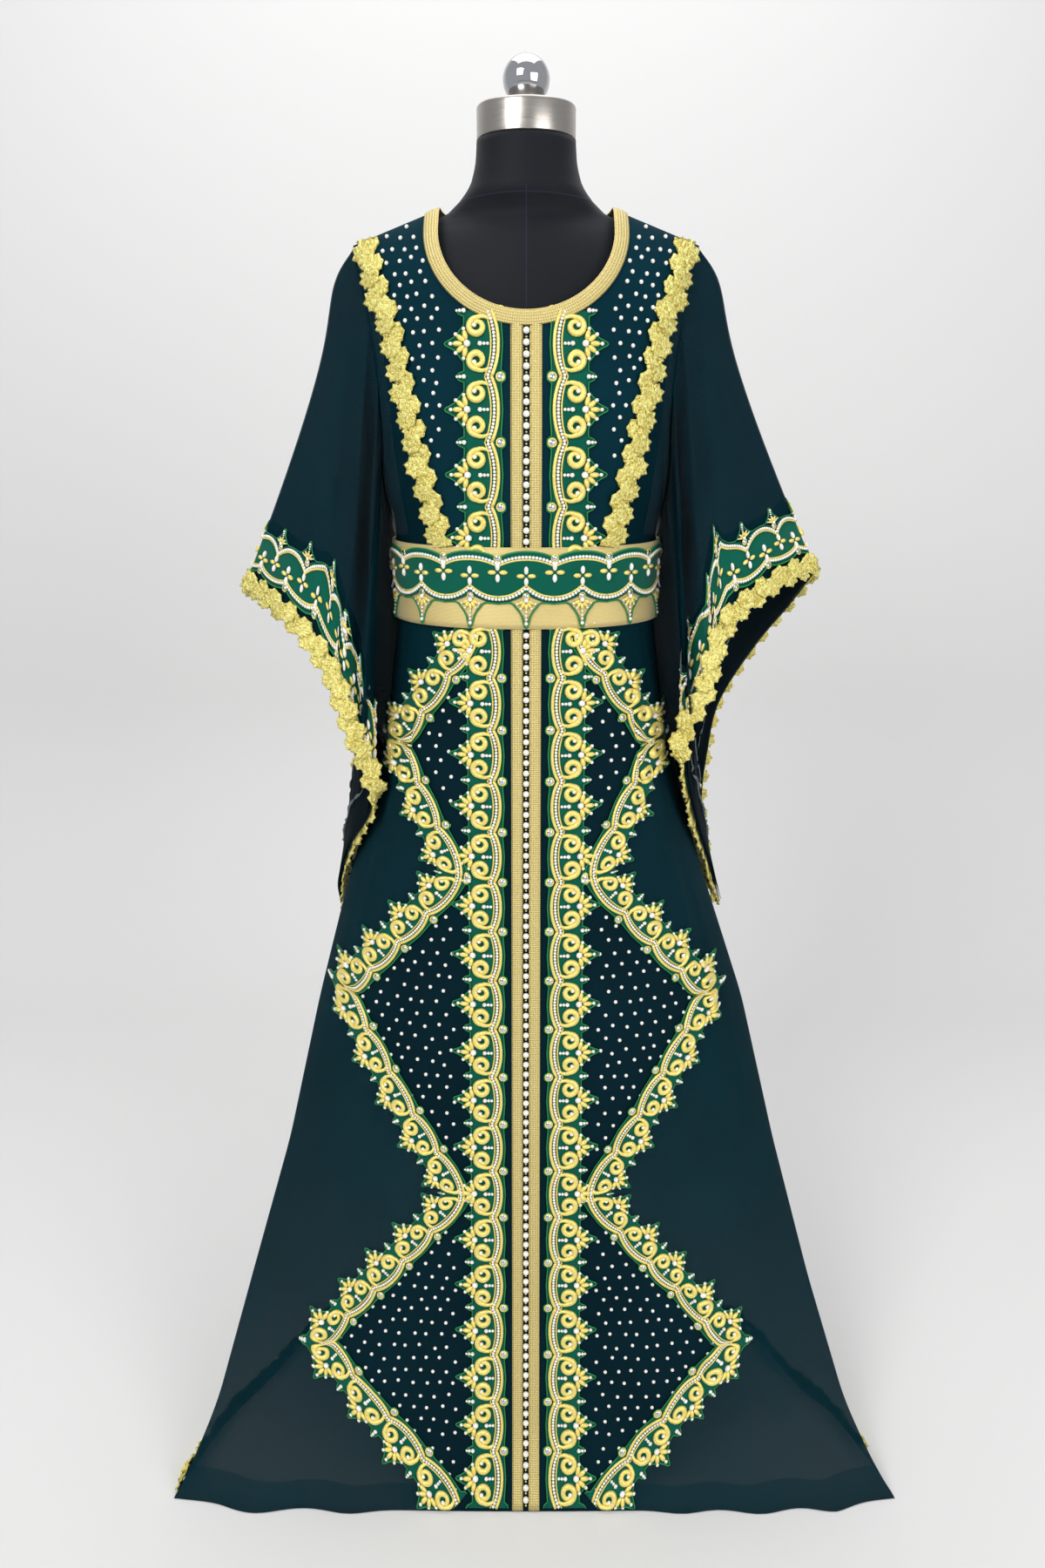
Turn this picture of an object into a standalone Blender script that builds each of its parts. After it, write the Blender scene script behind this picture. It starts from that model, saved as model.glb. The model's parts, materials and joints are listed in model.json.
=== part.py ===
"""Moroccan kaftan on a limbless dress form.

Metres, +Z up. The wearer's front faces -Y and the wearer's left is +X.
The origin is on the floor under the middle of the stand's base.

Every cloth piece is a thin wall whose outer side is a grid of points on one
body surface (front, back, sleeve). Trims are cut out of the same grids and
moved out along the grid's normals, so they follow the panel under them.
"""
import math

import bmesh
import bpy
import numpy as np

# ---------------------------------------------------------------- sizes
SEAM_GAP = 0.0005          # between neighbouring panels
LAY_GAP = 0.0004           # between a panel and what is sewn on it
BORDER_GAP = 0.0008        # the same over the zigzag seam
NECKBAND_GAP = 0.0010
PLACKET_GAP = 0.0007       # the same down the middle front
CLOTH = 0.0012             # chiffon wall
BRAID = 0.0012             # flat braid and embroidered ground
ROSETTE = 0.0030           # sequinned rosette trim
ROSETTE_WIDTH = 0.024
TRIM_LIFT = 0.002          # trims stop this far above the floor

WAIST_Z = 1.091            # waist seam, hidden by the belt
BELT_TOP = 1.1335
BELT_LOW = 1.046
BELT_CLEAR = 0.0026        # belt's inner side to the panels
BELT_THICK = 0.0030
APPLIQUE_TOP = 1.128
APPLIQUE_LOW = 1.072

PLACKET = 0.0165           # half width of the two braids
BEAD_HALF = 0.0028         # half width of the bead row between them
BEAD_HIGH = 0.0030
BRAID_IN = 0.0033
BAND_IN = 0.019            # embroidered bands beside the placket
BAND_MID = 0.047
BAND_OUT = 0.075
BORDER_HALF = 0.027        # half width of the zigzag border, level
PRINCESS_HALF = 0.0125

NECK_X = 0.100             # neckline, along the middle of its braid
NECK_Z = 1.455             # where its sides turn into the round front
NECK_DROP = 0.090
NECK_BACK_DROP = 0.020
NECKBAND_HALF = 0.008
SEAM_STEP = 0.12           # first row below the shoulder seam lies this part as low

SHOULDER_TOP = 1.517       # shoulder line carried on to the middle
SHOULDER_SLOPE = 0.374
SHOULDER_ROUND = 0.12      # how far down the shoulder's round reaches
SHOULDER_END = 0.187
ARMPIT_Z = 1.165

# body surface: height, half widths right and left, side seam's y,
# depths of front and back middle, and the section's roundness
# (2 is an ellipse, 1.1 is nearly flat with corners)
BODY = np.array([
    # z,     right, left,  side_y, front,  back,  round_f, round_b
    [1.520, 0.190, 0.190, 0.000, -0.080, 0.082, 2.10, 2.10],
    [1.447, 0.190, 0.191, 0.000, -0.090, 0.092, 2.10, 2.10],
    [1.360, 0.178, 0.179, 0.000, -0.100, 0.105, 2.20, 2.20],
    [1.290, 0.171, 0.172, 0.000, -0.115, 0.108, 2.20, 2.20],
    [1.240, 0.168, 0.168, 0.000, -0.124, 0.106, 2.20, 2.20],
    [1.195, 0.165, 0.166, 0.000, -0.125, 0.103, 2.20, 2.20],
    [1.140, 0.1500, 0.1500, 0.000, -0.122, 0.101, 2.20, 2.20],
    [1.091, 0.1485, 0.1485, 0.000, -0.121, 0.101, 2.20, 2.20],
    [1.046, 0.149, 0.149, 0.000, -0.123, 0.104, 2.20, 2.20],
    [0.900, 0.170, 0.170, 0.000, -0.131, 0.125, 2.00, 2.20],
    [0.800, 0.197, 0.194, 0.000, -0.140, 0.130, 1.85, 2.30],
    [0.700, 0.229, 0.226, -0.005, -0.150, 0.134, 1.75, 2.20],
    [0.560, 0.276, 0.263, -0.022, -0.168, 0.140, 1.60, 2.00],
    [0.380, 0.318, 0.303, -0.065, -0.191, 0.155, 1.40, 1.70],
    [0.216, 0.361, 0.350, -0.125, -0.213, 0.172, 1.25, 1.45],
    [0.080, 0.402, 0.388, -0.190, -0.243, 0.186, 1.15, 1.30],
    [0.024, 0.432, 0.414, -0.238, -0.267, 0.192, 1.15, 1.25],
    [0.000, 0.451, 0.430, -0.262, -0.281, 0.195, 1.15, 1.25],
])
# princess seam of the front bodice: height, distance from the middle
PRINCESS = np.array([
    # z,     x
    [1.451, 0.174],
    [1.393, 0.157],
    [1.357, 0.142],
    [1.300, 0.130],
    [1.222, 0.113],
    [1.140, 0.092],
    [1.091, 0.086],
])
# zigzag seam of the skirt's inlay: height, distance from the middle
ZIGZAG = np.array([
    # z,     x
    [1.091, 0.060],
    [1.046, 0.064],
    [0.908, 0.156],
    [0.765, 0.087],
    [0.602, 0.228],
    [0.378, 0.087],
    [0.178, 0.262],
    [0.000, 0.090],
])
SKIRT_ROWS = (1.046, 0.975, 0.908, 0.835, 0.765, 0.710, 0.656, 0.602, 0.527,
              0.452, 0.378, 0.311, 0.245, 0.178, 0.090, 0.024, 0.000)
# soft folds of the skirt: distance from the middle, width, depth at the hem
FRONT_FOLDS = np.array([
    # x,      width, depth
    [-0.330, 0.040, 0.012],
    [-0.215, 0.032, 0.007],
    [0.190, 0.030, 0.006],
    [0.285, 0.036, 0.010],
    [0.375, 0.034, 0.012],
])
BACK_FOLD_COUNT = 8        # folds of the back, one to every second column
BACK_FOLD_DEPTH = 0.014

# sleeves: round the open end from the outer corner by the front to the
# lowest point and back, for the sleeve at +X and the one at -X (x mirrored)
CUFF_FRONT = {
    "left": np.array([
        # x,     y,      z
        [0.340, 0.000, 1.094],
        [0.302, -0.032, 1.086],
        [0.263, -0.056, 1.066],
        [0.232, -0.073, 1.042],
        [0.218, -0.083, 1.005],
        [0.208, -0.088, 0.962],
        [0.190, -0.083, 0.920],
        [0.186, -0.078, 0.870],
        [0.204, -0.050, 0.800],
        [0.236, 0.020, 0.715],
        [0.258, 0.070, 0.650],
    ]),
    "right": np.array([
        # x,     y,      z
        [0.331, 0.000, 1.075],
        [0.287, -0.048, 1.055],
        [0.251, -0.074, 1.024],
        [0.228, -0.085, 0.990],
        [0.214, -0.090, 0.950],
        [0.203, -0.090, 0.911],
        [0.188, -0.084, 0.868],
        [0.183, -0.076, 0.822],
        [0.214, -0.038, 0.765],
        [0.240, 0.032, 0.690],
        [0.244, 0.070, 0.644],
    ]),
}
CUFF_BACK = {
    "left": np.array([
        # x,     y,      z
        [0.258, 0.070, 0.650],
        [0.243, 0.078, 0.705],
        [0.230, 0.075, 0.785],
        [0.233, 0.068, 0.855],
        [0.245, 0.062, 0.925],
        [0.285, 0.052, 0.998],
        [0.320, 0.034, 1.050],
        [0.340, 0.000, 1.094],
    ]),
    "right": np.array([
        # x,     y,      z
        [0.244, 0.070, 0.644],
        [0.235, 0.080, 0.695],
        [0.225, 0.080, 0.760],
        [0.220, 0.076, 0.830],
        [0.226, 0.070, 0.900],
        [0.262, 0.058, 0.985],
        [0.305, 0.036, 1.040],
        [0.331, 0.000, 1.075],
    ]),
}
SLEEVE_ROUND = 22          # points round a sleeve
SLEEVE_RINGS = 9           # rings from the armhole to the cuff's band
CUFF_BAND = (0.070, 0.030)     # embroidered band, measured up from the edge
ARM_SAG = 0.014            # over-arm fold hangs in between shoulder and cuff
SIDE_SAG = 0.058           # cloth beside the body hangs in towards it,
SIDE_BACK = 0.050          # and behind it,
SIDE_TURN = 1.08           # most just behind the underarm, in half turns
INNER_BOW = 0.020          # inner front of the sleeve hangs forward
INNER_PLACE = 0.36         # round the sleeve, from its top by the front
INNER_WIDTH = 0.07
SLEEVE_FOLDS = 3.0
SLEEVE_FOLD_DEPTH = 0.007

FORM_INSET = 0.0100        # dress form inside the bodice
NECK_RINGS = np.array([
    # z,     half,   front,  back
    [1.549, 0.0530, -0.0530, 0.0530],
    [1.526, 0.0545, -0.0560, 0.0570],
    [1.505, 0.0600, -0.0600, 0.0610],
    [1.491, 0.0700, -0.0640, 0.0650],
])
FORM_ROWS = (1.476, 1.460, 1.442, 1.420, 1.385, 1.340, 1.290, 1.235, 1.180)
FORM_LOWER = np.array([
    # z,     half,   front,  back
    [1.120, 0.1320, -0.1040, 0.0880],
    [1.070, 0.1280, -0.1020, 0.0860],
    [1.000, 0.1400, -0.1080, 0.0950],
    [0.930, 0.1540, -0.1130, 0.1060],
    [0.870, 0.1560, -0.1100, 0.1080],
    [0.850, 0.1520, -0.1060, 0.1040],
])
FORM_AROUND = 28
CAP_RADIUS = 0.0528
CAP_TOP = 1.5825
BALL_RADIUS = 0.0250
POLE_RADIUS = 0.0160
BASE_RADIUS = 0.150

GOLD = (0.72, 0.53, 0.16, 1.0)
TEAL = (0.004, 0.045, 0.060, 1.0)
PEARL = (0.90, 0.88, 0.82, 1.0)


# ---------------------------------------------------------------- surfaces
def column(table, z, index):
    """Read one column of a table whose first column is a falling height."""
    return float(np.interp(z, table[::-1, 0], table[::-1, index]))


def shoulder_z(x):
    return SHOULDER_TOP - SHOULDER_SLOPE * abs(x)


def half_width(x, z):
    return column(BODY, z, 1 if x >= 0 else 2)


def front_fold(x, z):
    """How far the folds push the front out at x, growing from belt to hem."""
    spread = column(BODY, z, 1) / BODY[-1, 1]
    return sum(depth * math.exp(-((x - middle * spread) / (width * spread)) ** 2)
               for middle, width, depth in FRONT_FOLDS)


def back_fold(x, z):
    """Even round folds of the back, of uneven depth."""
    turn = math.asin(max(-1.0, min(1.0, x / half_width(x, z))))
    uneven = 1.0 + 0.35 * math.sin(3.1 * turn + 0.8) + 0.25 * math.sin(7.3 * turn)
    return BACK_FOLD_DEPTH * uneven * math.cos(2 * BACK_FOLD_COUNT * turn)


def body_y(x, z, back, inset=0.0):
    """Depth of the body surface at x and z, on its front or its back."""
    half = half_width(x, z) - inset
    side = column(BODY, z, 3)
    middle = column(BODY, z, 5 if back else 4)
    middle += -inset if back else inset
    roundness = column(BODY, z, 7 if back else 6)
    share = max(0.0, 1.0 - min(abs(x) / half, 1.0) ** 2.2)
    y = side + (middle - side) * share ** (1.0 / roundness)
    down = shoulder_z(x) - inset - z
    if down < SHOULDER_ROUND:
        y *= math.sqrt(max(0.0, 1.0 - (1.0 - max(down, 0.0) / SHOULDER_ROUND) ** 2))
    return y


def on_body(x, z, back=False):
    y = body_y(x, z, back)
    if z < BELT_LOW:
        edge = min(1.0, 6.0 * (1.0 - min(abs(x) / half_width(x, z), 1.0)))
        reach = edge * ((BELT_LOW - z) / BELT_LOW) ** 1.2
        y += reach * (back_fold(x, z) if back else -front_fold(x, z))
    return np.array([x, y, z])


def armhole_x(x_sign, z):
    """Distance of the armhole and side seam from the middle."""
    half = half_width(x_sign, z)
    if z <= ARMPIT_Z:
        return half
    share = (z - ARMPIT_Z) / (shoulder_z(SHOULDER_END) - ARMPIT_Z)
    return min(half, SHOULDER_END + 0.002) * (1.0 - 0.06 * math.sin(math.pi * min(share, 1.0)))


def curve(points, count, power=1.0):
    """Smooth curve through points, cut into count equal steps."""
    pts = np.vstack([2 * points[0] - points[1], points, 2 * points[-1] - points[-2]])
    fine = []
    for a, b, c, d in zip(pts, pts[1:], pts[2:], pts[3:]):
        for t in np.linspace(0.0, 1.0, 12, endpoint=False):
            fine.append(0.5 * (2 * b + (c - a) * t + (2 * a - 5 * b + 4 * c - d) * t * t
                               + (3 * b - a - 3 * c + d) * t ** 3))
    fine.append(points[-1])
    fine = np.array(fine)
    run = np.concatenate([[0.0], np.cumsum(np.linalg.norm(np.diff(fine, axis=0), axis=1))])
    steps = run[-1] * np.linspace(0.0, 1.0, count + 1) ** power
    return np.column_stack([np.interp(steps, run, fine[:, k]) for k in range(3)])


# ---------------------------------------------------------------- walls
def grid_normals(grid, closed=False):
    """Unit normals of a grid of points; closed joins last column to first."""
    down = np.gradient(grid, axis=0)
    if closed:
        across = np.roll(grid, -1, axis=1) - np.roll(grid, 1, axis=1)
    else:
        across = np.gradient(grid, axis=1)
    normals = np.cross(down, across)
    normals /= np.linalg.norm(normals, axis=2, keepdims=True)
    return normals


def material(name, colour, rough, metal=0.0):
    found = bpy.data.materials.get(name)
    if found:
        return found
    made = bpy.data.materials.new(name)
    made.use_nodes = True
    shader = made.node_tree.nodes["Principled BSDF"]
    shader.inputs["Base Color"].default_value = colour
    shader.inputs["Roughness"].default_value = rough
    shader.inputs["Metallic"].default_value = metal
    return made


def new_object(name, bm, finish):
    mesh = bpy.data.meshes.new(name)
    bm.to_mesh(mesh)
    bm.free()
    mesh.materials.append(finish)
    mesh.shade_smooth()
    made = bpy.data.objects.new(name, mesh)
    bpy.context.scene.collection.objects.link(made)
    return made


def leaning(steps, first_half):
    """Which way each column's quads are halved: mirrored about the middle."""
    return [(j < steps / 2) == first_half for j in range(steps)]


def wall(name, outer, inner, finish, closed=False, lean=None):
    """Closed wall between two grids of the same shape, rows by columns."""
    rows, cols = outer.shape[:2]
    bm = bmesh.new()
    sides = []
    for grid in (outer, inner):
        sides.append([[bm.verts.new(point) for point in row] for row in grid])
    out, ins = sides
    steps = cols if closed else cols - 1
    lean = lean or [False] * steps
    for i in range(rows - 1):
        for j in range(steps):
            k = (j + 1) % cols
            for side, turn in ((out, 1), (ins, -1)):
                a, b, c, d = side[i][j], side[i + 1][j], side[i + 1][k], side[i][k]
                halves = ((a, b, d), (b, c, d)) if lean[j] else ((a, b, c), (a, c, d))
                for half in halves:
                    bm.faces.new(half[::turn])
    for j in range(steps):
        k = (j + 1) % cols
        bm.faces.new((out[0][j], out[0][k], ins[0][k], ins[0][j]))
        bm.faces.new((out[-1][j], ins[-1][j], ins[-1][k], out[-1][k]))
    if not closed:
        for i in range(rows - 1):
            bm.faces.new((out[i][0], ins[i][0], ins[i + 1][0], out[i + 1][0]))
            bm.faces.new((out[i][-1], out[i + 1][-1], ins[i + 1][-1], ins[i][-1]))
    return new_object(name, bm, finish)


def above(grid, lowest):
    held = grid.copy()
    held[..., 2] = np.maximum(held[..., 2], lowest)
    return held


def panel(name, grid, normals, finish, closed=False, lean=None):
    """Cloth whose outer side is the grid."""
    wall(name, above(grid, 0.0), above(grid - normals * CLOTH, 0.0), finish, closed, lean)


def strip(name, grid, normals, finish, gap=LAY_GAP, thick=BRAID, closed=False, lean=None):
    """Trim that lies on the grid, moved out by the gap."""
    wall(name, above(grid + normals * (gap + thick), TRIM_LIFT),
         above(grid + normals * gap, TRIM_LIFT), finish, closed, lean)


# ---------------------------------------------------------------- bodice
FIXED_COLUMNS = (0.0, PLACKET, BAND_IN, BAND_MID, BAND_OUT)
BAND_FIRST = FIXED_COLUMNS.index(BAND_IN)
BAND_LAST = FIXED_COLUMNS.index(BAND_OUT)
BAND_STEPS = BAND_LAST - BAND_FIRST
# outer columns of the front bodice: at the top an angle round the neckline
# (None is on the shoulder seam), then the share of the way from the band to
# the princess seam at the waist
NECK_COLUMNS = (
    # angle, shoulder_x, waist_share
    (20.0, None, 0.2),
    (0.0, None, 0.4),
    (None, NECK_X, 0.6),
    (None, 0.138, 0.8),
    (None, 0.174, 1.0),
)
NECK_FRONT_STEPS = len(FIXED_COLUMNS) + 2
BODICE_LOW_ROWS = (1.240, ARMPIT_Z, 1.140, WAIST_Z + SEAM_GAP)


def bodice_heights(z_band):
    """Rows of a bodice column below the neckline's braid."""
    first = z_band - 0.022
    between = [first + (BODICE_LOW_ROWS[0] - first) * share for share in (0.0, 0.33, 0.66)]
    return between + list(BODICE_LOW_ROWS)


def neckline(x, angle, shoulder_x, out):
    """Point on the front neckline, moved out from it by out (x and z)."""
    if shoulder_x is not None:
        across = shoulder_x + (out if shoulder_x == NECK_X else 0.0)
        return across, shoulder_z(across) - max(out, 0.0) * SEAM_STEP
    if angle is None:
        angle = math.degrees(math.acos(x / NECK_X))
    turn = math.radians(angle)
    across = (NECK_X + out) * math.cos(turn) if x is None else x
    if x is not None:
        turn = math.acos(min(1.0, x / (NECK_X + out)))
    return across, NECK_Z - (NECK_DROP + out) * math.sin(turn)


def front_column(index, out):
    """Top of one half column of the front bodice."""
    if index < len(FIXED_COLUMNS):
        return neckline(FIXED_COLUMNS[index], None, None, out)
    angle, shoulder_x, _ = NECK_COLUMNS[index - len(FIXED_COLUMNS)]
    return neckline(None, angle, shoulder_x, out)


def front_bodice_half(sign):
    """Grid of one half of the front, from the middle to the princess seam."""
    columns = []
    for index in range(len(FIXED_COLUMNS) + len(NECK_COLUMNS)):
        x_top, z_top = front_column(index, 0.0)
        x_band, z_band = front_column(index, NECKBAND_HALF)
        line = [(x_top, z_top), (x_band, z_band)]
        for z in bodice_heights(z_band):
            x = x_band
            if index >= len(FIXED_COLUMNS):
                low = NECK_COLUMNS[index - len(FIXED_COLUMNS)][2]
                top = (x_band - BAND_OUT) / (column(PRINCESS, z_band, 1) - BAND_OUT)
                part = top + (low - top) * (z_band - z) / (z_band - WAIST_Z)
                x = BAND_OUT + (column(PRINCESS, z, 1) - BAND_OUT) * part
            line.append((x, z))
        columns.append([on_body(sign * x, z) for x, z in line])
    return np.swapaxes(np.array(columns), 0, 1)


def front_bodice_grid():
    left = front_bodice_half(-1)[:, ::-1]
    right = front_bodice_half(1)
    return np.concatenate([left[:, :-1], right], axis=1)


def side_bodice_grid(sign):
    """Front side panel, from the princess seam to the armhole and side."""
    rows = []
    for z in bodice_heights(front_column(len(FIXED_COLUMNS) + len(NECK_COLUMNS) - 1,
                                         NECKBAND_HALF)[1]):
        inner = column(PRINCESS, z, 1) + SEAM_GAP
        outer = armhole_x(sign, z)
        row = [on_body(sign * (inner + (outer - inner) * math.sin(part * math.pi / 2)), z)
               for part in (0.0, 0.35, 0.7, 1.0)]
        rows.append(row if sign > 0 else row[::-1])
    return np.array(rows)


BACK_COLUMNS = 8           # half columns of the back bodice
NECK_BACK_COLUMNS = 5      # of which these end at the neckline


def back_bodice_top(index, out):
    """Top of a half column of the back: neckline, then shoulder seam."""
    if index <= NECK_BACK_COLUMNS:
        turn = math.pi / 2 * (1.0 - index / NECK_BACK_COLUMNS)
        x = (NECK_X + out) * math.cos(turn)
        corner = max(out, 0.0) * SEAM_STEP * (index == NECK_BACK_COLUMNS)
        return x, shoulder_z(NECK_X + out) - (NECK_BACK_DROP + out) * math.sin(turn) - corner
    share = (index - NECK_BACK_COLUMNS) / (BACK_COLUMNS - NECK_BACK_COLUMNS)
    x = NECK_X + (SHOULDER_END - NECK_X) * share
    return x, shoulder_z(x) - max(out, 0.0) * SEAM_STEP


def back_bodice_grid():
    halves = []
    for sign in (-1, 1):
        columns = []
        for index in range(BACK_COLUMNS + 1):
            x_top, z_top = back_bodice_top(index, 0.0)
            x_band, z_band = back_bodice_top(index, NECKBAND_HALF)
            line = [(x_top, z_top), (x_band, z_band)]
            low = math.sin(index / BACK_COLUMNS * math.pi / 2)
            top = x_band / armhole_x(sign, z_band)
            for z in bodice_heights(z_band):
                part = top + (low - top) * (z_band - z) / (z_band - WAIST_Z)
                line.append((part * armhole_x(sign, z), z))
            columns.append([on_body(sign * x, z, back=True) for x, z in line])
        halves.append(np.array(columns))
    grid = np.concatenate([halves[0][::-1][:-1], halves[1]])
    return np.swapaxes(grid, 0, 1)[:, ::-1]


def part_seams(grid, step):
    """Keep front and back apart along the shoulder and side seams."""
    moved = grid.copy()
    moved[..., 1] += np.where(np.abs(grid[..., 1]) < 0.006, step, 0.0)
    return moved


def neckband_grid():
    """Ring of braid round the neck opening: inner edge, middle, outer edge."""
    rows = []
    for out in (-NECKBAND_HALF, 0.0, NECKBAND_HALF):
        front = [front_column(index, out) for index in range(NECK_FRONT_STEPS + 1)]
        back = [back_bodice_top(index, out) for index in range(NECK_BACK_COLUMNS + 1)]
        ring = [on_body(-x, z) for x, z in front[::-1]]
        ring += [on_body(x, z) for x, z in front[1:]]
        ring += [on_body(x, z, back=True) for x, z in back[::-1]]
        ring += [on_body(-x, z, back=True) for x, z in back[1:]]
        rows.append(ring)
    grid = np.array(rows)
    seam = 2 * NECK_FRONT_STEPS + 1
    grid[:, :seam] = part_seams(grid[:, :seam], -SEAM_GAP)
    grid[:, seam:] = part_seams(grid[:, seam:], SEAM_GAP)
    return grid


def make_bodice():
    cloth = material("chest_cloth", TEAL, 0.7)
    sheer = material("sheer_cloth", TEAL, 0.6)
    gold = material("gold_braid", GOLD, 0.45, 0.6)
    green = material("green_satin", (0.0, 0.09, 0.05, 1.0), 0.5)
    grid = part_seams(front_bodice_grid(), -SEAM_GAP)
    normals = grid_normals(grid)
    panel("bodice_front", grid, normals, cloth, lean=leaning(grid.shape[1] - 1, True))
    middle = grid.shape[1] // 2
    below = grid[1:].copy()
    below[0] += (below[1] - below[0]) * 0.15
    sew_placket("bodice", below[:, middle, 2], BELT_TOP + 0.002)
    for side, sign in (("left", 1), ("right", -1)):
        pick = band_columns(middle, sign, BAND_FIRST, BAND_LAST)
        strip("bodice_band_" + side, below[:, pick], normals[1:, pick], green,
              lean=[sign < 0] * BAND_STEPS)
        side_grid = part_seams(side_bodice_grid(sign), -SEAM_GAP)
        panel("bodice_side_" + side, side_grid, grid_normals(side_grid), sheer)
        make_princess_trim(side, sign)
    back = part_seams(back_bodice_grid(), SEAM_GAP)
    panel("bodice_back", back, grid_normals(back), sheer,
          lean=leaning(back.shape[1] - 1, True))
    ring = neckband_grid()
    lean = (leaning(2 * NECK_FRONT_STEPS, True) + [False]
            + leaning(2 * NECK_BACK_COLUMNS, True) + [False])
    strip("neckband", ring, grid_normals(ring, closed=True), gold, gap=NECKBAND_GAP,
          closed=True, lean=lean)


def band_columns(middle, sign, near, far):
    if sign > 0:
        return slice(middle + near, middle + far + 1)
    return slice(middle - far, middle - near + 1)


def sew_placket(where, heights, bead_end):
    """Two braids down the middle front, and a bead row that stops at the belt."""
    gold = material("gold_braid", GOLD, 0.45, 0.6)
    for side, near, far in (("left", BRAID_IN, PLACKET), ("right", -PLACKET, -BRAID_IN)):
        grid = np.array([[on_body(x, z) for x in (near, far)] for z in heights])
        strip(where + "_braid_" + side, grid, grid_normals(grid), gold, gap=PLACKET_GAP)
    inside = [z for z in heights if abs(z - WAIST_Z) > abs(bead_end - WAIST_Z)] + [bead_end]
    inside.sort(reverse=True)
    grid = np.array([[on_body(x, z) for x in (-BEAD_HALF, BEAD_HALF)] for z in inside])
    strip(where + "_beads", grid, grid_normals(grid), material("pearl", PEARL, 0.25),
          gap=PLACKET_GAP, thick=BEAD_HIGH)


def make_princess_trim(side, sign):
    rows = []
    for z in np.linspace(1.444, BELT_TOP + 0.003, 12):
        x = column(PRINCESS, z, 1)
        row = [on_body(sign * (x + step), z)
               for step in (-PRINCESS_HALF, 0.0, min(PRINCESS_HALF, SHOULDER_END - x))]
        rows.append(row if sign > 0 else row[::-1])
    grid = np.array(rows)
    strip("princess_trim_" + side, grid, grid_normals(grid),
          material("rosette_gold", (0.80, 0.68, 0.18, 1.0), 0.4, 0.5), gap=0.0022, thick=ROSETTE)


# ---------------------------------------------------------------- skirt
def skirt_columns(z, sign):
    """Half columns: placket, band, inlay, border, then the sheer side."""
    seam = column(ZIGZAG, z, 1)
    inner = max(seam - BORDER_HALF, BAND_OUT + 0.003)
    outer = max(seam + BORDER_HALF, BAND_OUT + 0.020)
    half = half_width(sign, z)
    outer = min(outer, half - 0.012)
    inner = min(inner, outer - 0.010)
    inlay = 0.5 * (BAND_OUT + inner)
    sides = [outer + (half - outer) * math.sin(part * math.pi / 2)
             for part in (0.30, 0.62, 1.0)]
    return FIXED_COLUMNS + (inlay, inner, seam_between(seam, inner, outer), outer) + tuple(sides)


def seam_between(seam, inner, outer):
    return min(max(seam, inner + 0.004), outer - 0.004)


INLAY_EDGE = len(FIXED_COLUMNS) + 2     # column of the zigzag seam
BORDER_IN = len(FIXED_COLUMNS) + 1
BORDER_OUT = len(FIXED_COLUMNS) + 3


def skirt_front_grid():
    rows = []
    for z in (WAIST_Z - SEAM_GAP,) + SKIRT_ROWS:
        right = [on_body(x, z) for x in skirt_columns(z, 1)]
        left = [on_body(-x, z) for x in skirt_columns(z, -1)]
        rows.append(left[::-1][:-1] + right)
    return np.array(rows)


def skirt_back_grid():
    steps = 8
    rows = []
    for z in (WAIST_Z - SEAM_GAP,) + SKIRT_ROWS:
        row = []
        for index in range(-steps, steps + 1):
            x = math.sin(index / steps * math.pi / 2) * half_width(index, z)
            row.append(on_body(x, z, back=True))
        rows.append(row[::-1])
    return np.array(rows)


def mitre_side_seams(front, normals, back, back_normals):
    """Share one normal at each side seam, and part the two panels there."""
    for edge, other in ((0, -1), (-1, 0)):
        both = normals[:, edge] + back_normals[:, other]
        both /= np.linalg.norm(both, axis=1, keepdims=True)
        normals[:, edge] = both
        back_normals[:, other] = both
    front[:, (0, -1), 1] -= SEAM_GAP
    back[:, (0, -1), 1] += SEAM_GAP


def make_skirt():
    inlay = material("inlay_cloth", (0.003, 0.022, 0.034, 1.0), 0.75)
    sheer = material("sheer_cloth", TEAL, 0.6)
    gold = material("gold_braid", GOLD, 0.45, 0.6)
    green = material("green_satin", (0.0, 0.09, 0.05, 1.0), 0.5)
    grid, back = skirt_front_grid(), skirt_back_grid()
    normals, back_normals = grid_normals(grid), grid_normals(back)
    mitre_side_seams(grid, normals, back, back_normals)
    middle = grid.shape[1] // 2
    seams = (middle - INLAY_EDGE, middle + INLAY_EDGE)
    core = slice(seams[0], seams[1] + 1)
    panel("skirt_inlay", grid[:, core], normals[:, core], inlay,
          lean=leaning(2 * INLAY_EDGE, True))
    for side, pick in (("left", slice(seams[1], None)), ("right", slice(None, seams[0] + 1))):
        part = grid[:, pick].copy()
        part[:, 0 if side == "left" else -1, 0] += SEAM_GAP if side == "left" else -SEAM_GAP
        panel("skirt_side_" + side, part, normals[:, pick], sheer,
              lean=[side == "right"] * (part.shape[1] - 1))
    sew_placket("skirt", grid[:, middle, 2], BELT_LOW - 0.002)
    for side, sign in (("left", 1), ("right", -1)):
        pick = band_columns(middle, sign, BAND_FIRST, BAND_LAST)
        strip("skirt_band_" + side, grid[:, pick], normals[:, pick], green,
              lean=[sign < 0] * BAND_STEPS)
        pick = band_columns(middle, sign, BORDER_IN, BORDER_OUT)
        strip("zigzag_border_" + side, grid[1:, pick], normals[1:, pick], green,
              gap=BORDER_GAP, lean=[sign < 0] * (BORDER_OUT - BORDER_IN))
    panel("skirt_back", back, back_normals, sheer)
    rosette = material("rosette_gold", (0.80, 0.68, 0.18, 1.0), 0.4, 0.5)
    strip("back_hem_trim", back[-2:, 1:-1], back_normals[-2:, 1:-1], rosette,
          thick=ROSETTE)


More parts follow.
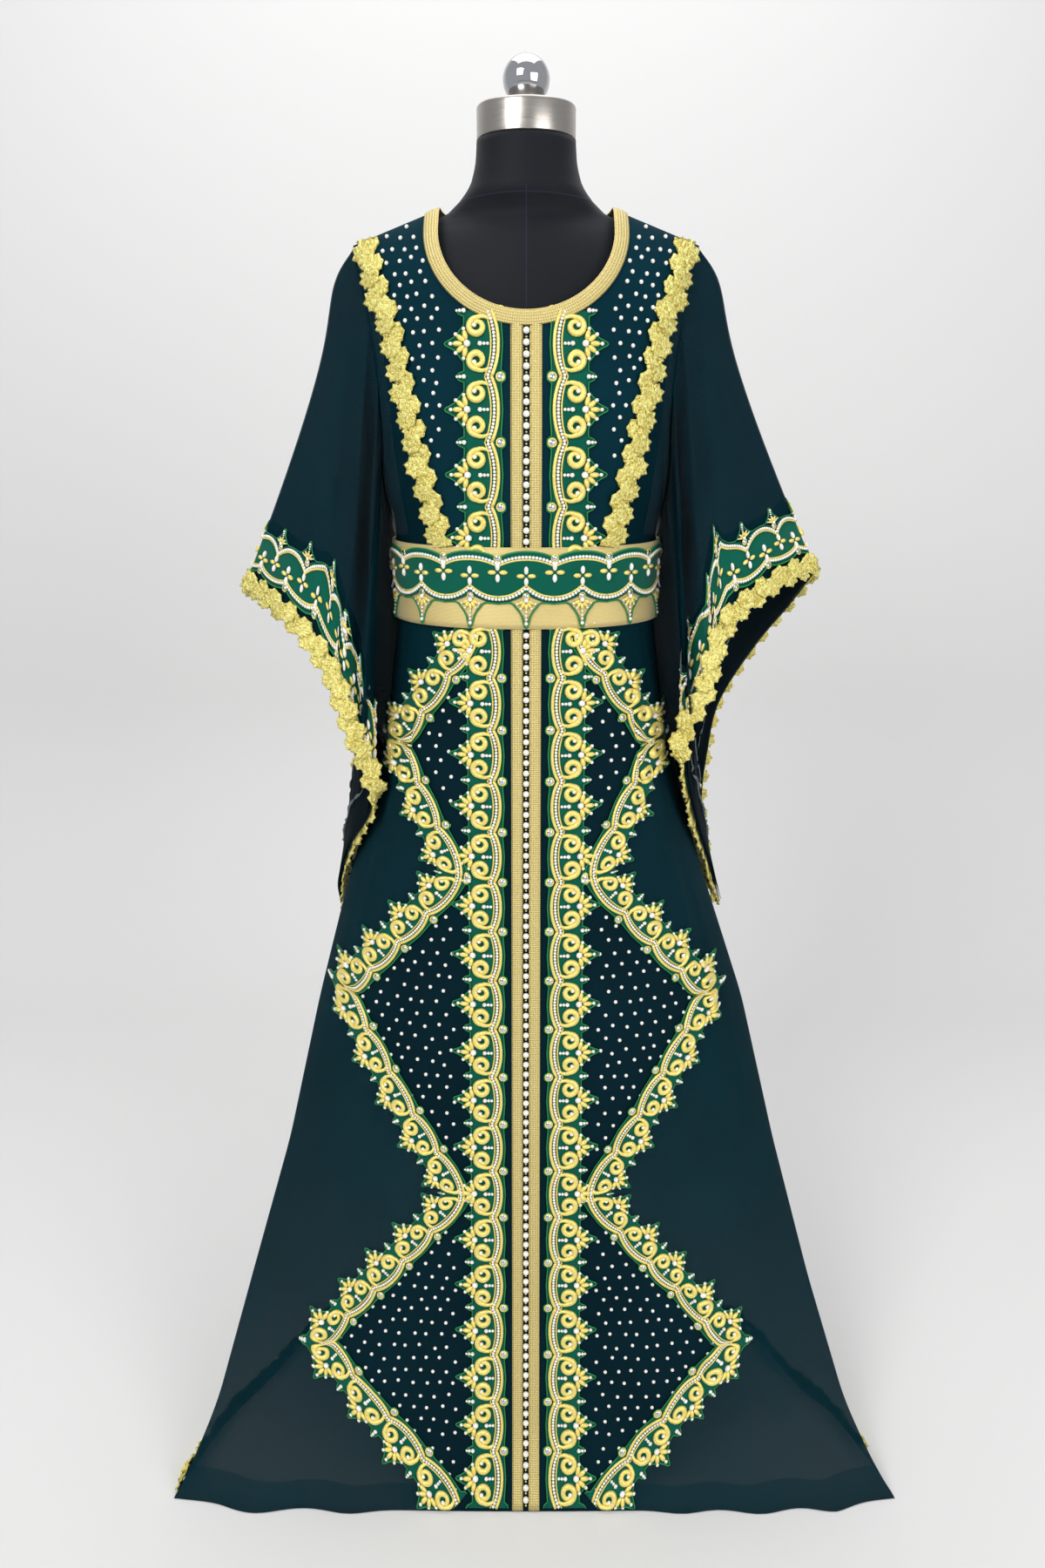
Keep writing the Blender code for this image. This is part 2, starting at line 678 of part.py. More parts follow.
# ---------------------------------------------------------------- belt
def belt_ring(z, out, count=22):
    """Closed ring round the waist at z, out from the panels."""
    section = []
    for back in (False, True):
        for index in range(-count // 2, count // 2):
            x = math.sin(index / (count // 2) * math.pi / 2) * half_width(index, z)
            x = -x if back else x
            section.append([x, body_y(x, z, back)])
    ring = np.array(section)
    ahead = np.roll(ring, -1, axis=0) - np.roll(ring, 1, axis=0)
    away = np.column_stack([ahead[:, 1], -ahead[:, 0]])
    away /= np.linalg.norm(away, axis=1, keepdims=True)
    flat = ring + away * out
    return np.column_stack([flat, np.full(len(flat), z)])


def make_belt():
    heights = (BELT_TOP, APPLIQUE_TOP, APPLIQUE_LOW, BELT_LOW)
    outer = np.array([belt_ring(z, BELT_CLEAR + BELT_THICK) for z in heights])
    inner = np.array([belt_ring(z, BELT_CLEAR) for z in heights])
    wall("belt", outer, inner, material("belt_satin", (0.78, 0.63, 0.28, 1.0), 0.5, 0.3),
         closed=True)
    front = outer.shape[1] // 2
    part = outer[1:3, 1:front]
    strip("belt_applique", part, grid_normals(part),
          material("green_satin", (0.0, 0.09, 0.05, 1.0), 0.5))


# ---------------------------------------------------------------- sleeves
def armhole_loop(sign, points):
    """Closed loop round the armhole: shoulder, front, armpit, back."""
    loop = []
    half = points // 2
    for index in range(points):
        back = index > half
        share = (points - index) / half if back else index / half
        top = shoulder_z(SHOULDER_END)
        z = top + (ARMPIT_Z - top) * (0.5 - 0.5 * math.cos(math.pi * share))
        x = armhole_x(sign, z)
        y = body_y(sign * x, z, back)
        loop.append([x + 2 * SEAM_GAP, y, z])
    return np.array(loop)


def cuff_loop(side, points):
    half = points // 2
    front = curve(CUFF_FRONT[side], half)
    back = curve(CUFF_BACK[side], half)
    return np.vstack([front[:-1], back[:-1]])


def sleeve_grid(side, sign):
    """Rings from the armhole to the open end; x is positive on both sides."""
    start = armhole_loop(sign, SLEEVE_ROUND)
    end = cuff_loop(side, SLEEVE_ROUND)
    length = np.linalg.norm(end - start, axis=1)
    turn = np.arange(SLEEVE_ROUND) / SLEEVE_ROUND * 2 * math.pi
    over = np.maximum(0.0, np.cos(turn)) ** 2
    beside = np.maximum(0.0, np.cos(turn - SIDE_TURN * math.pi)) ** 6
    inner = np.exp(-((turn / (2 * math.pi) - INNER_PLACE) / INNER_WIDTH) ** 2)
    rest = 1.0 - CUFF_BAND[0] / length
    shares = [rest * index / SLEEVE_RINGS for index in range(SLEEVE_RINGS + 1)]
    shares += [1.0 - step / length for step in (CUFF_BAND[1], ROSETTE_WIDTH, 0.0)]
    rings = []
    for share in shares:
        ring = start + (end - start) * share[:, None]
        sag = np.sin(math.pi * share)
        drawn_in = sag ** 1.5 * beside
        ring[:, 0] -= sag * ARM_SAG * over + drawn_in * SIDE_SAG
        ring[:, 1] += drawn_in * SIDE_BACK - sag * INNER_BOW * inner
        wave = np.cos(SLEEVE_FOLDS * 2 * math.pi * share) * np.sin(turn) * np.abs(np.sin(turn))
        ring[:, 1] -= SLEEVE_FOLD_DEPTH * sag * wave * (0.4 + 0.6 * share)
        rings.append(ring)
    grid = np.array(rings)
    if sign < 0:
        grid[..., 0] *= -1
        grid = grid[:, ::-1]
    return grid[:, ::-1]


def make_sleeve(side, sign):
    grid = sleeve_grid(side, sign)
    normals = grid_normals(grid, closed=True)
    panel("sleeve_" + side, grid, normals, material("sheer_cloth", TEAL, 0.6), closed=True)
    strip("cuff_band_" + side, grid[-4:-2], normals[-4:-2],
          material("green_satin", (0.0, 0.09, 0.05, 1.0), 0.5), closed=True)
    strip("cuff_trim_" + side, grid[-2:], normals[-2:],
          material("rosette_gold", (0.80, 0.68, 0.18, 1.0), 0.4, 0.5),
          thick=ROSETTE, closed=True)


# ---------------------------------------------------------------- form
def form_ring(z, half, front, back):
    ring = []
    for index in range(FORM_AROUND):
        turn = 2 * math.pi * index / FORM_AROUND
        x = half * math.sin(turn)
        depth = front if math.cos(turn) > 0 else back
        ring.append((x, depth * abs(math.cos(turn)), z))
    return ring


def form_body_ring(z):
    """Ring inside the bodice, along the same shoulders."""
    reach = (SHOULDER_TOP - FORM_INSET - z) / SHOULDER_SLOPE
    half = min(reach, half_width(1, z) - 0.016, SHOULDER_END - 0.014)
    ring = []
    for index in range(FORM_AROUND):
        turn = 2 * math.pi * index / FORM_AROUND
        x = half * math.sin(turn)
        limit = body_y(x, z, math.cos(turn) <= 0, FORM_INSET)
        flat = body_y(0.0, z, math.cos(turn) <= 0, FORM_INSET) * abs(math.cos(turn))
        y = math.copysign(min(abs(limit), abs(flat)), flat)
        ring.append((x, y, z))
    return ring


def loft(name, rings, finish):
    bm = bmesh.new()
    loops = [[bm.verts.new(point) for point in ring] for ring in rings]
    for upper, lower in zip(loops, loops[1:]):
        for j in range(len(upper)):
            k = (j + 1) % len(upper)
            bm.faces.new((upper[j], upper[k], lower[k], lower[j]))
    bm.faces.new(loops[0][::-1])
    bm.faces.new(loops[-1])
    bmesh.ops.recalc_face_normals(bm, faces=bm.faces)
    return new_object(name, bm, finish)


def turned(name, profile, finish, steps=32):
    """Closed solid turned round the stand's axis from (radius, z) points."""
    bm = bmesh.new()
    verts = [bm.verts.new((radius, 0.0, z)) for radius, z in profile]
    edges = [bm.edges.new(pair) for pair in zip(verts, verts[1:])]
    bmesh.ops.spin(bm, geom=verts + edges, cent=(0, 0, 0), axis=(0, 0, 1),
                   angle=2 * math.pi, steps=steps, use_merge=True)
    bmesh.ops.remove_doubles(bm, verts=bm.verts, dist=0.00001)
    bmesh.ops.recalc_face_normals(bm, faces=bm.faces)
    return new_object(name, bm, finish)


def make_form():
    black = material("form_jersey", (0.02, 0.022, 0.03, 1.0), 0.8)
    steel = material("brushed_steel", (0.55, 0.52, 0.48, 1.0), 0.35, 1.0)
    chrome = material("chrome", (0.7, 0.7, 0.7, 1.0), 0.08, 1.0)
    rings = [form_ring(*row) for row in NECK_RINGS]
    rings += [form_body_ring(z) for z in FORM_ROWS]
    rings += [form_ring(*row) for row in FORM_LOWER]
    loft("form_torso", rings, black)
    low = NECK_RINGS[0, 0] + SEAM_GAP
    turned("form_neck_cap", [(0, low), (CAP_RADIUS, low), (CAP_RADIUS, CAP_TOP - 0.003),
                             (CAP_RADIUS - 0.003, CAP_TOP), (0, CAP_TOP)], steel)
    middle = CAP_TOP + SEAM_GAP + BALL_RADIUS * 0.98
    arc = [(0.0, CAP_TOP + SEAM_GAP)]
    arc += [(BALL_RADIUS * math.sin(math.radians(a)), middle - BALL_RADIUS * math.cos(math.radians(a)))
            for a in range(12, 180, 14)]
    arc.append((0.0, middle + BALL_RADIUS))
    turned("form_finial", arc, chrome, 24)
    foot = 0.034
    turned("form_base", [(0, 0), (BASE_RADIUS, 0), (BASE_RADIUS, 0.008), (BASE_RADIUS - 0.01, 0.012),
                         (0.045, 0.018), (0.030, foot), (0, foot)], black)
    bottom = FORM_LOWER[-1, 0] - SEAM_GAP
    turned("form_pole", [(0, foot + SEAM_GAP), (POLE_RADIUS, foot + SEAM_GAP),
                         (POLE_RADIUS, bottom), (0, bottom)], steel, 20)


def main():
    for old in list(bpy.data.objects):
        bpy.data.objects.remove(old)
    make_form()
    make_bodice()
    make_skirt()
    make_belt()
    make_sleeve("left", 1)
    make_sleeve("right", -1)


main()
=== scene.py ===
import json
import math

import bmesh
import bpy
import numpy as np
from mathutils import Matrix

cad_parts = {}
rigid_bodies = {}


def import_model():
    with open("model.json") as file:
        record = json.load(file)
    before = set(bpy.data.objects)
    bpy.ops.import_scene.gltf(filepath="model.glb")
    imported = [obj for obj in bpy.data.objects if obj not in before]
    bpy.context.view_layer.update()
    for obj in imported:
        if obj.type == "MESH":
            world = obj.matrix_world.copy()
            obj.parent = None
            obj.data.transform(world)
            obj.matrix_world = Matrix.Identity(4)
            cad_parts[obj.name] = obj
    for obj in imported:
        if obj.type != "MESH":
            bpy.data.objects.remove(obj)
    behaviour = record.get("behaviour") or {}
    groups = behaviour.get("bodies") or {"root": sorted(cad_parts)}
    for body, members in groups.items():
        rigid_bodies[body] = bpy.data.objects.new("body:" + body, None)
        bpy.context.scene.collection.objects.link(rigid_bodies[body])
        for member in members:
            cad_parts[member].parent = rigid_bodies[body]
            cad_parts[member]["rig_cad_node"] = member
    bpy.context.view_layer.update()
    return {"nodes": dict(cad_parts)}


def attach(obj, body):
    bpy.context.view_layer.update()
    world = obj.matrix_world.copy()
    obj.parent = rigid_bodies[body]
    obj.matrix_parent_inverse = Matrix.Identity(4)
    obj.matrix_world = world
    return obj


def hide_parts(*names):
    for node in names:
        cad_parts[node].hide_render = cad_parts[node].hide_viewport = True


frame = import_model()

# ---------------------------------------------------------------- sizes, metres
SIDES = (("left", 1), ("right", -1))       # left is the wearer's, at positive x
CLOTH = 0.0012             # cloth walls
SATIN = 0.0007             # satin grounds of the embroidery
LINING = 0.0006            # cuff facings
BRAID = 0.0012             # placket braid
BAND_LIFT = 0.0012         # embroidery, out from the cloth
WAIST_Z = 1.091
BELT_TOP = 1.1335
BELT_LOW = 1.046
BELT_OUT = 0.0056          # belt's outer side, out from the panels
BELT_THICK = 0.0030
SHOULDER_TOP = 1.517       # height of the shoulder line in the middle
SHOULDER_SLOPE = 0.374
SHOULDER_ROUND = 0.12      # height over which the shoulder rolls over
SHOULDER_END = 0.187
ARMPIT_Z = 1.165
NECK_X = 0.100             # neckline: half width, middle of its curve, depths
NECK_Z = 1.455
NECK_DROP = 0.090
NECK_BACK_DROP = 0.020
NECKBAND_HALF = 0.008
BRAID_IN = 0.0033          # placket braid, from the middle
PLACKET = 0.0165
BEAD_PITCH = 0.0118
CHEST_REPEAT = 0.0655      # length of one embroidered pattern
SKIRT_REPEAT = 0.0582
BELT_REPEAT = 0.061
CUFF_REPEAT = 0.056
CHEST_BAND_TOP = 1.372
BELT_PATTERNS = 7
BORDER_MIDDLE = 0.0525     # middle of the band's pattern, from the placket
BORDER_SIZE = 0.84         # zigzag pattern to band pattern
CUFF_BAND_UP = 0.0180      # cuff embroidery, from the sleeve's edge
CUFF_BAND_SIZE = 0.90
CUFF_TIP = 0.057           # flower tips are shortened past this line
ROSETTE_PITCH = 0.0125
ROSETTE_WIDTH = 0.024
ROSETTE_LOBES = 8
HEM_TRIM_Z = 0.013
STONE = 0.0023             # radius of the scattered stones
CHEST_STONES = 0.0140      # spacing
SKIRT_STONES = 0.0168
STONES_TOP = 1.474
STONES_LOW = 0.012
STONES_ASTRAY = 0.0024     # off the even rows
FORM_INSET = 0.0100        # form, inside the bodice
FORM_LOW = 0.850           # its underside
FLOOR_GAP = 0.0012

BODY_NAMES = ("z", "right", "left", "side", "front", "back", "round_front", "round_back")
BODY_ROWS = (
    (1.520, 0.190, 0.190, 0.000, -0.080, 0.082, 2.10, 2.10),
    (1.447, 0.190, 0.191, 0.000, -0.090, 0.092, 2.10, 2.10),
    (1.360, 0.178, 0.179, 0.000, -0.100, 0.105, 2.20, 2.20),
    (1.290, 0.171, 0.172, 0.000, -0.115, 0.108, 2.20, 2.20),
    (1.240, 0.168, 0.168, 0.000, -0.124, 0.106, 2.20, 2.20),
    (1.195, 0.165, 0.166, 0.000, -0.125, 0.103, 2.20, 2.20),
    (1.140, 0.1500, 0.1500, 0.000, -0.122, 0.101, 2.20, 2.20),
    (1.091, 0.1485, 0.1485, 0.000, -0.121, 0.101, 2.20, 2.20),
    (1.046, 0.149, 0.149, 0.000, -0.123, 0.104, 2.20, 2.20),
    (0.900, 0.170, 0.170, 0.000, -0.131, 0.125, 2.00, 2.20),
    (0.800, 0.197, 0.194, 0.000, -0.140, 0.130, 1.85, 2.30),
    (0.700, 0.229, 0.226, -0.005, -0.150, 0.134, 1.75, 2.20),
    (0.560, 0.276, 0.263, -0.022, -0.168, 0.140, 1.60, 2.00),
    (0.380, 0.318, 0.303, -0.065, -0.191, 0.155, 1.40, 1.70),
    (0.216, 0.361, 0.350, -0.125, -0.213, 0.172, 1.25, 1.45),
    (0.080, 0.402, 0.388, -0.190, -0.243, 0.186, 1.15, 1.30),
    (0.024, 0.432, 0.414, -0.238, -0.267, 0.192, 1.15, 1.25),
    (0.000, 0.451, 0.430, -0.262, -0.281, 0.195, 1.15, 1.25),
)
PRINCESS_ROWS = (          # height, distance from the middle
    (1.451, 0.174), (1.393, 0.157), (1.357, 0.142), (1.300, 0.130),
    (1.222, 0.113), (1.140, 0.092), (1.091, 0.086),
)
PRINCESS_TOP_X = 0.1735    # where the seam leaves the shoulder
PRINCESS_TOP_Z = 1.4465
ZIGZAG = np.array((        # distance from the middle, height
    (0.060, 1.091), (0.064, 1.046), (0.156, 0.908), (0.087, 0.765), (0.228, 0.602),
    (0.087, 0.378), (0.262, 0.178), (0.090, 0.000),
))
ZIGZAG_REPEATS = (3, 3, 4, 5, 5, 4)        # patterns on each straight run below the waist
FRONT_FOLDS = (            # distance from the middle, width, depth at the hem
    (-0.330, 0.040, 0.012), (-0.215, 0.032, 0.007), (0.190, 0.030, 0.006),
    (0.285, 0.036, 0.010), (0.375, 0.034, 0.012),
)
SIDE_PLEATS = (            # share of the half width, width, depth, top, bottom
    (-0.94, 0.020, 0.0070, 1.08, 0.25), (-0.87, 0.018, 0.0060, 1.09, 0.45),
    (-0.79, 0.018, 0.0045, 1.09, 0.62), (0.76, 0.018, 0.0045, 1.09, 0.60),
    (0.84, 0.018, 0.0060, 1.09, 0.40), (0.92, 0.018, 0.0070, 1.08, 0.22),
    (-0.70, 0.035, 0.0050, 0.60, 0.02), (0.72, 0.040, 0.0050, 0.50, 0.02),
    (-0.88, 0.030, 0.0060, 0.50, 0.01), (0.60, 0.030, 0.0040, 0.40, 0.01),
)
BACK_FOLD_COUNT = 8
BACK_FOLD_DEPTH = 0.014
CUFF_FRONT = {
    "left": ((0.340, 0.000, 1.094), (0.302, -0.032, 1.086), (0.263, -0.056, 1.066),
             (0.232, -0.073, 1.042), (0.218, -0.083, 1.005), (0.208, -0.088, 0.962),
             (0.190, -0.083, 0.920), (0.186, -0.078, 0.870), (0.204, -0.050, 0.800),
             (0.236, 0.020, 0.715), (0.258, 0.070, 0.650)),
    "right": ((0.331, 0.000, 1.075), (0.287, -0.048, 1.055), (0.251, -0.074, 1.024),
              (0.228, -0.085, 0.990), (0.214, -0.090, 0.950), (0.203, -0.090, 0.911),
              (0.188, -0.084, 0.868), (0.183, -0.076, 0.822), (0.214, -0.038, 0.765),
              (0.240, 0.032, 0.690), (0.244, 0.070, 0.644)),
}
CUFF_BACK = {
    "left": ((0.258, 0.070, 0.650), (0.243, 0.078, 0.705), (0.230, 0.075, 0.785),
             (0.233, 0.068, 0.855), (0.245, 0.062, 0.925), (0.285, 0.052, 0.998),
             (0.320, 0.034, 1.050), (0.340, 0.000, 1.094)),
    "right": ((0.244, 0.070, 0.644), (0.235, 0.080, 0.695), (0.225, 0.080, 0.760),
              (0.220, 0.076, 0.830), (0.226, 0.070, 0.900), (0.262, 0.058, 0.985),
              (0.305, 0.036, 1.040), (0.331, 0.000, 1.075)),
}
ARM_SAG = 0.006            # sag of the sleeve's top line
SIDE_SAG = 0.072           # inner side of the sleeve, drawn in and back to the body
SIDE_BACK = 0.050
SIDE_TURN = 1.08           # where it is drawn in, in half turns round the sleeve
INNER_BOW = 0.020          # inner front of the sleeve hangs forward
INNER_PLACE = 0.36
INNER_WIDTH = 0.07
HEAD_OUT = 0.011           # sleeve head stands out from the shoulder
HEAD_DOWN = 0.11
SLEEVE_FOLDS = 3.0         # soft waves down the sleeve
SLEEVE_FOLD_DEPTH = 0.007
FOLDS_END = 0.98           # creases fade over the stiff embroidery
FOLDS_FADE = 0.30
SLEEVE_CREASES = (         # place round the sleeve, width, depth
    (0.07, 0.020, 0.005), (0.13, 0.016, -0.007), (0.185, 0.010, 0.019), (0.22, 0.010, -0.014),
    (0.255, 0.010, 0.024), (0.29, 0.010, -0.017), (0.325, 0.010, 0.027), (0.365, 0.011, -0.016),
    (0.41, 0.011, 0.022), (0.455, 0.010, 0.016), (0.60, 0.026, 0.010), (0.68, 0.020, -0.008),
    (0.76, 0.024, 0.010), (0.86, 0.026, 0.008),
)
NECK_RINGS = (             # height, half width, front, back of the form's neck
    (1.549, 0.0530, -0.0530, 0.0530), (1.526, 0.0545, -0.0560, 0.0570),
    (1.505, 0.0600, -0.0600, 0.0610), (1.491, 0.0700, -0.0640, 0.0650),
)
FORM_HEIGHTS = (           # rings that follow the bodice, falling
    1.476, 1.468, 1.460, 1.451, 1.442, 1.420, 1.400, 1.385, 1.340, 1.290, 1.235, 1.180,
)
FORM_LOWER = (             # height, half width, front, back below them
    (1.120, 0.1320, -0.1040, 0.0880), (1.070, 0.1280, -0.1020, 0.0860),
    (1.000, 0.1400, -0.1080, 0.0950), (0.930, 0.1540, -0.1130, 0.1060),
    (0.870, 0.1560, -0.1100, 0.1080), (FORM_LOW, 0.1520, -0.1060, 0.1040),
)
CAP_RADIUS = 0.0528
CAP_LOW = 1.5495
CAP_TOP = 1.5825
BALL_RADIUS = 0.0250

LIGHTS = (                 # name, place, aim, size, power
    ("key", (-1.6, -2.6, 2.9), (0.0, 0.0, 1.0), 1.6, 70.0),
    ("fill", (1.9, -2.4, 1.7), (0.0, 0.0, 0.8), 1.8, 38.0),
    ("top", (0.0, 0.4, 3.2), (0.0, 0.1, 0.8), 2.0, 30.0),
)
CAMERA_PLACE = (-0.004, -1.443, 1.261)
CAMERA_TILT = 73.5         # degrees up from straight down
CAMERA_LENS = 28.0


# ---------------------------------------------------------------- surfaces
def smoothed(names, rows, step=0.004, reach=5):
    """A table of falling heights, read every few millimetres and rounded off."""
    table = np.array(rows)[::-1]
    z = np.arange(table[0, 0], table[-1, 0] + step, step)
    window = np.ones(2 * reach + 1) / (2 * reach + 1)
    columns = {names[0]: z}
    for k, name in enumerate(names[1:], 1):
        values = np.interp(z, table[:, 0], table[:, k])
        padded = np.pad(values, reach, mode="reflect", reflect_type="odd")
        columns[name] = np.convolve(padded, window, "valid")
    return columns


BODY = smoothed(BODY_NAMES, BODY_ROWS)
PRINCESS = smoothed(("z", "x"), PRINCESS_ROWS)


def read(name, z):
    return np.interp(z, BODY["z"], BODY[name])


def princess_x(z):
    return np.interp(z, PRINCESS["z"], PRINCESS["x"])


def zigzag_x(z):
    return np.interp(z, ZIGZAG[::-1, 1], ZIGZAG[::-1, 0])


def shoulder_z(x):
    return SHOULDER_TOP - SHOULDER_SLOPE * np.abs(x)


def half_width(x, z):
    return np.where(np.asarray(x) >= 0, read("right", z), read("left", z))


def front_fold(x, z):
    spread = read("right", z) / BODY_ROWS[-1][1]
    return sum(depth * np.exp(-((x - middle * spread) / (width * spread)) ** 2)
               for middle, width, depth in FRONT_FOLDS)


def side_pleat(x, z):
    """Fine soft pleats of the sheer sides, each over its own heights."""
    share = x / half_width(x, z)
    total = 0.0
    for place, width, depth, top, low in SIDE_PLEATS:
        run = np.clip((z - low) / (top - low), 0.0, 1.0)
        total = total + depth * np.sin(np.pi * run) * np.exp(-((share - place) / width) ** 2)
    return total


def back_fold(x, z):
    turn = np.arcsin(np.clip(x / half_width(x, z), -1.0, 1.0))
    uneven = 1.0 + 0.35 * np.sin(3.1 * turn + 0.8) + 0.25 * np.sin(7.3 * turn)
    return BACK_FOLD_DEPTH * uneven * np.cos(2 * BACK_FOLD_COUNT * turn)


def body_y(x, z, back, inset=0.0):
    """Depth of the body surface at x and z, on its front or its back."""
    half = half_width(x, z) - inset
    side = read("side", z)
    middle = read("back", z) - inset if back else read("front", z) + inset
    roundness = read("round_back" if back else "round_front", z)
    share = np.clip(1.0 - np.minimum(np.abs(x) / half, 1.0) ** 2.2, 0.0, 1.0)
    y = side + (middle - side) * share ** (1.0 / roundness)
    down = np.clip((shoulder_z(x) - inset - z) / SHOULDER_ROUND, 0.0, 1.0)
    return y * np.sqrt(1.0 - (1.0 - down) ** 2)


def surface(x, z, back=False):
    x, z = np.broadcast_arrays(np.asarray(x, float), np.asarray(z, float))
    y = body_y(x, z, back)
    edge = np.clip(6.0 * (1.0 - np.abs(x) / half_width(x, z)), 0.0, 1.0)
    reach = edge * np.clip((BELT_LOW - z) / BELT_LOW, 0.0, 1.0) ** 1.2
    y = y + (reach * back_fold(x, z) if back else -reach * front_fold(x, z) - edge * side_pleat(x, z))
    return np.stack([x, y, z], axis=-1)


def distances(points):
    """Distance of each point from the first, along their line."""
    return np.concatenate([[0], np.cumsum(np.linalg.norm(np.diff(points, axis=0), axis=1))])


def unit(direction):
    return direction / np.maximum(np.linalg.norm(direction, axis=-1, keepdims=True), 1e-12)


def raised(point, down, across, height):
    """Points moved out along the normal of a surface."""
    return point + unit(np.cross(down, across)) * np.asarray(height)[..., None]


def on_front(x, z, height=0.0, back=False):
    step = -0.002 if back else 0.002
    across = surface(x + step, z, back) - surface(x - step, z, back)
    down = surface(x, z - 0.002, back) - surface(x, z + 0.002, back)
    x, z, height = np.broadcast_arrays(x, z, height)
    return raised(surface(x, z, back), down, across, height)


def on_back(x, z, height=0.0):
    return on_front(x, z, height, back=True)


def armhole_x(sign, z):
    """Distance of the armhole and side seam from the middle."""
    half = half_width(sign, z)
    share = np.clip((z - ARMPIT_Z) / (shoulder_z(SHOULDER_END) - ARMPIT_Z), 0.0, 1.0)
    pulled = np.minimum(half, SHOULDER_END + 0.002) * (1.0 - 0.06 * np.sin(np.pi * share))
    return np.where(z <= ARMPIT_Z, half, pulled)


# ---------------------------------------------------------------- finishes
class Value:
    """A socket on which Python's operators add Math nodes."""

    def __init__(self, finish, socket):
        self.finish = finish
        self.socket = socket

    def maths(self, operation, *values):
        return self.finish.add("ShaderNodeMath", {"operation": operation}, dict(enumerate(values)))

    def __add__(self, other):
        return self.maths("ADD", self, other)

    def __sub__(self, other):
        return self.maths("SUBTRACT", self, other)

    def __rsub__(self, other):
        return self.maths("SUBTRACT", other, self)

    def __mul__(self, other):
        return self.maths("MULTIPLY", self, other)

    def __truediv__(self, other):
        return self.maths("DIVIDE", self, other)

    def __lt__(self, other):
        return self.maths("LESS_THAN", self, other)

    def __gt__(self, other):
        return self.maths("GREATER_THAN", self, other)

    def __abs__(self):
        return self.maths("ABSOLUTE", self)

    __radd__ = __add__
    __rmul__ = __mul__


class Finish:
    """A procedural material, built on one Principled shader."""

    def __init__(self, name, slot, **constants):
        self.slot = slot
        self.material = bpy.data.materials.new(name)
        self.material.use_nodes = True
        self.tree = self.material.node_tree
        self.shader = self.tree.nodes["Principled BSDF"]
        for key, value in constants.items():
            self.feed(self.shader.inputs[key.replace("_", " ")], value)

    def feed(self, socket, value):
        if isinstance(value, Value):
            self.tree.links.new(value.socket, socket)
        else:
            socket.default_value = value

    def add(self, kind, settings=None, sockets=None, out=0):
        node = self.tree.nodes.new(kind)
        for key, value in (settings or {}).items():
            setattr(node, key, value)
        for key, value in (sockets or {}).items():
            self.feed(node.inputs[key], value)
        return Value(self, node.outputs[out])

    def place(self, coordinates="Object"):
        return self.add("ShaderNodeTexCoord", out=coordinates)

    def axis(self, name, coordinates="Object"):
        return self.add("ShaderNodeSeparateXYZ", sockets={0: self.place(coordinates)}, out=name)

    def noise(self, scale, detail=2.0, coordinates="Object"):
        return self.add("ShaderNodeTexNoise", {}, {"Vector": self.place(coordinates), "Scale": scale,
                                                   "Detail": detail})

    def cells(self, scale, out=0):
        """Cells of scattered points: distance to each one's middle, or its own colour."""
        return self.add("ShaderNodeTexVoronoi", {}, {"Vector": self.place(), "Scale": scale}, out)

    def blend(self, amount, first, second):
        """Mix of two colours, by amount."""
        return self.add("ShaderNodeMix", {"data_type": "RGBA"}, {0: amount, 6: first, 7: second}, out=2)

    def bump(self, height, distance, strength=1.0):
        normal = self.add("ShaderNodeBump", {}, {"Height": height, "Distance": distance,
                                                 "Strength": strength})
        self.feed(self.shader.inputs["Normal"], normal)

    def colour(self, value):
        self.feed(self.shader.inputs["Base Color"], value)

    def rough(self, value):
        self.feed(self.shader.inputs["Roughness"], value)


def rgb(red, green, blue):
    """Linear colour of one given in 0-255 steps."""
    return tuple(((c / 255 + 0.055) / 1.055) ** 2.4 if c > 10 else c / 255 / 12.92
                 for c in (red, green, blue)) + (1.0,)


def see_through(opacity):
    """Alpha of each side of a thin shell, so that the shell has this opacity."""
    return 1.0 - math.sqrt(1.0 - opacity)


def crepe(name, slot, dark, light, opacity=1.0, hem=False, sheen=0.0):
    """Fine matt crepe chiffon: uneven dye, crossing yarns, optional doubled hem."""
    finish = Finish(name, slot, Sheen_Weight=sheen, Sheen_Roughness=0.4, Specular_IOR_Level=0.05)
    tone = finish.noise(9.0, 3.0)
    grain = finish.noise(1400.0, 1.0)
    finish.colour(finish.blend(tone * 0.7 + grain * 0.35, dark, light))
    finish.rough(0.62 + grain * 0.25)
    finish.bump(grain, 0.0004, 0.5)
    if opacity < 1.0:
        cover = see_through(opacity) + (tone - 0.5) * 0.10
        if hem:
            low = 1.0 - finish.axis("Z") * 2.0
            cover = cover + 0.12 * (finish.axis("Z") < 0.026) - 0.21 * low.maths("MAXIMUM", low, 0.0)
        finish.feed(finish.shader.inputs["Alpha"], cover)
    return finish


def thread(name, slot, dark, light, metal, rough, scale):
    """Couched metal or silk thread, in short glinting stitches."""
    finish = Finish(name, slot, Metallic=metal, Specular_IOR_Level=0.5)
    stitch = finish.noise(scale, 2.0)
    sparkle = finish.cells(scale * 0.6)
    finish.colour(finish.blend(stitch, dark, light))
    finish.rough(rough + (stitch - 0.5) * 0.4)
    finish.bump(stitch + sparkle, 0.0004, 0.8)
    return finish


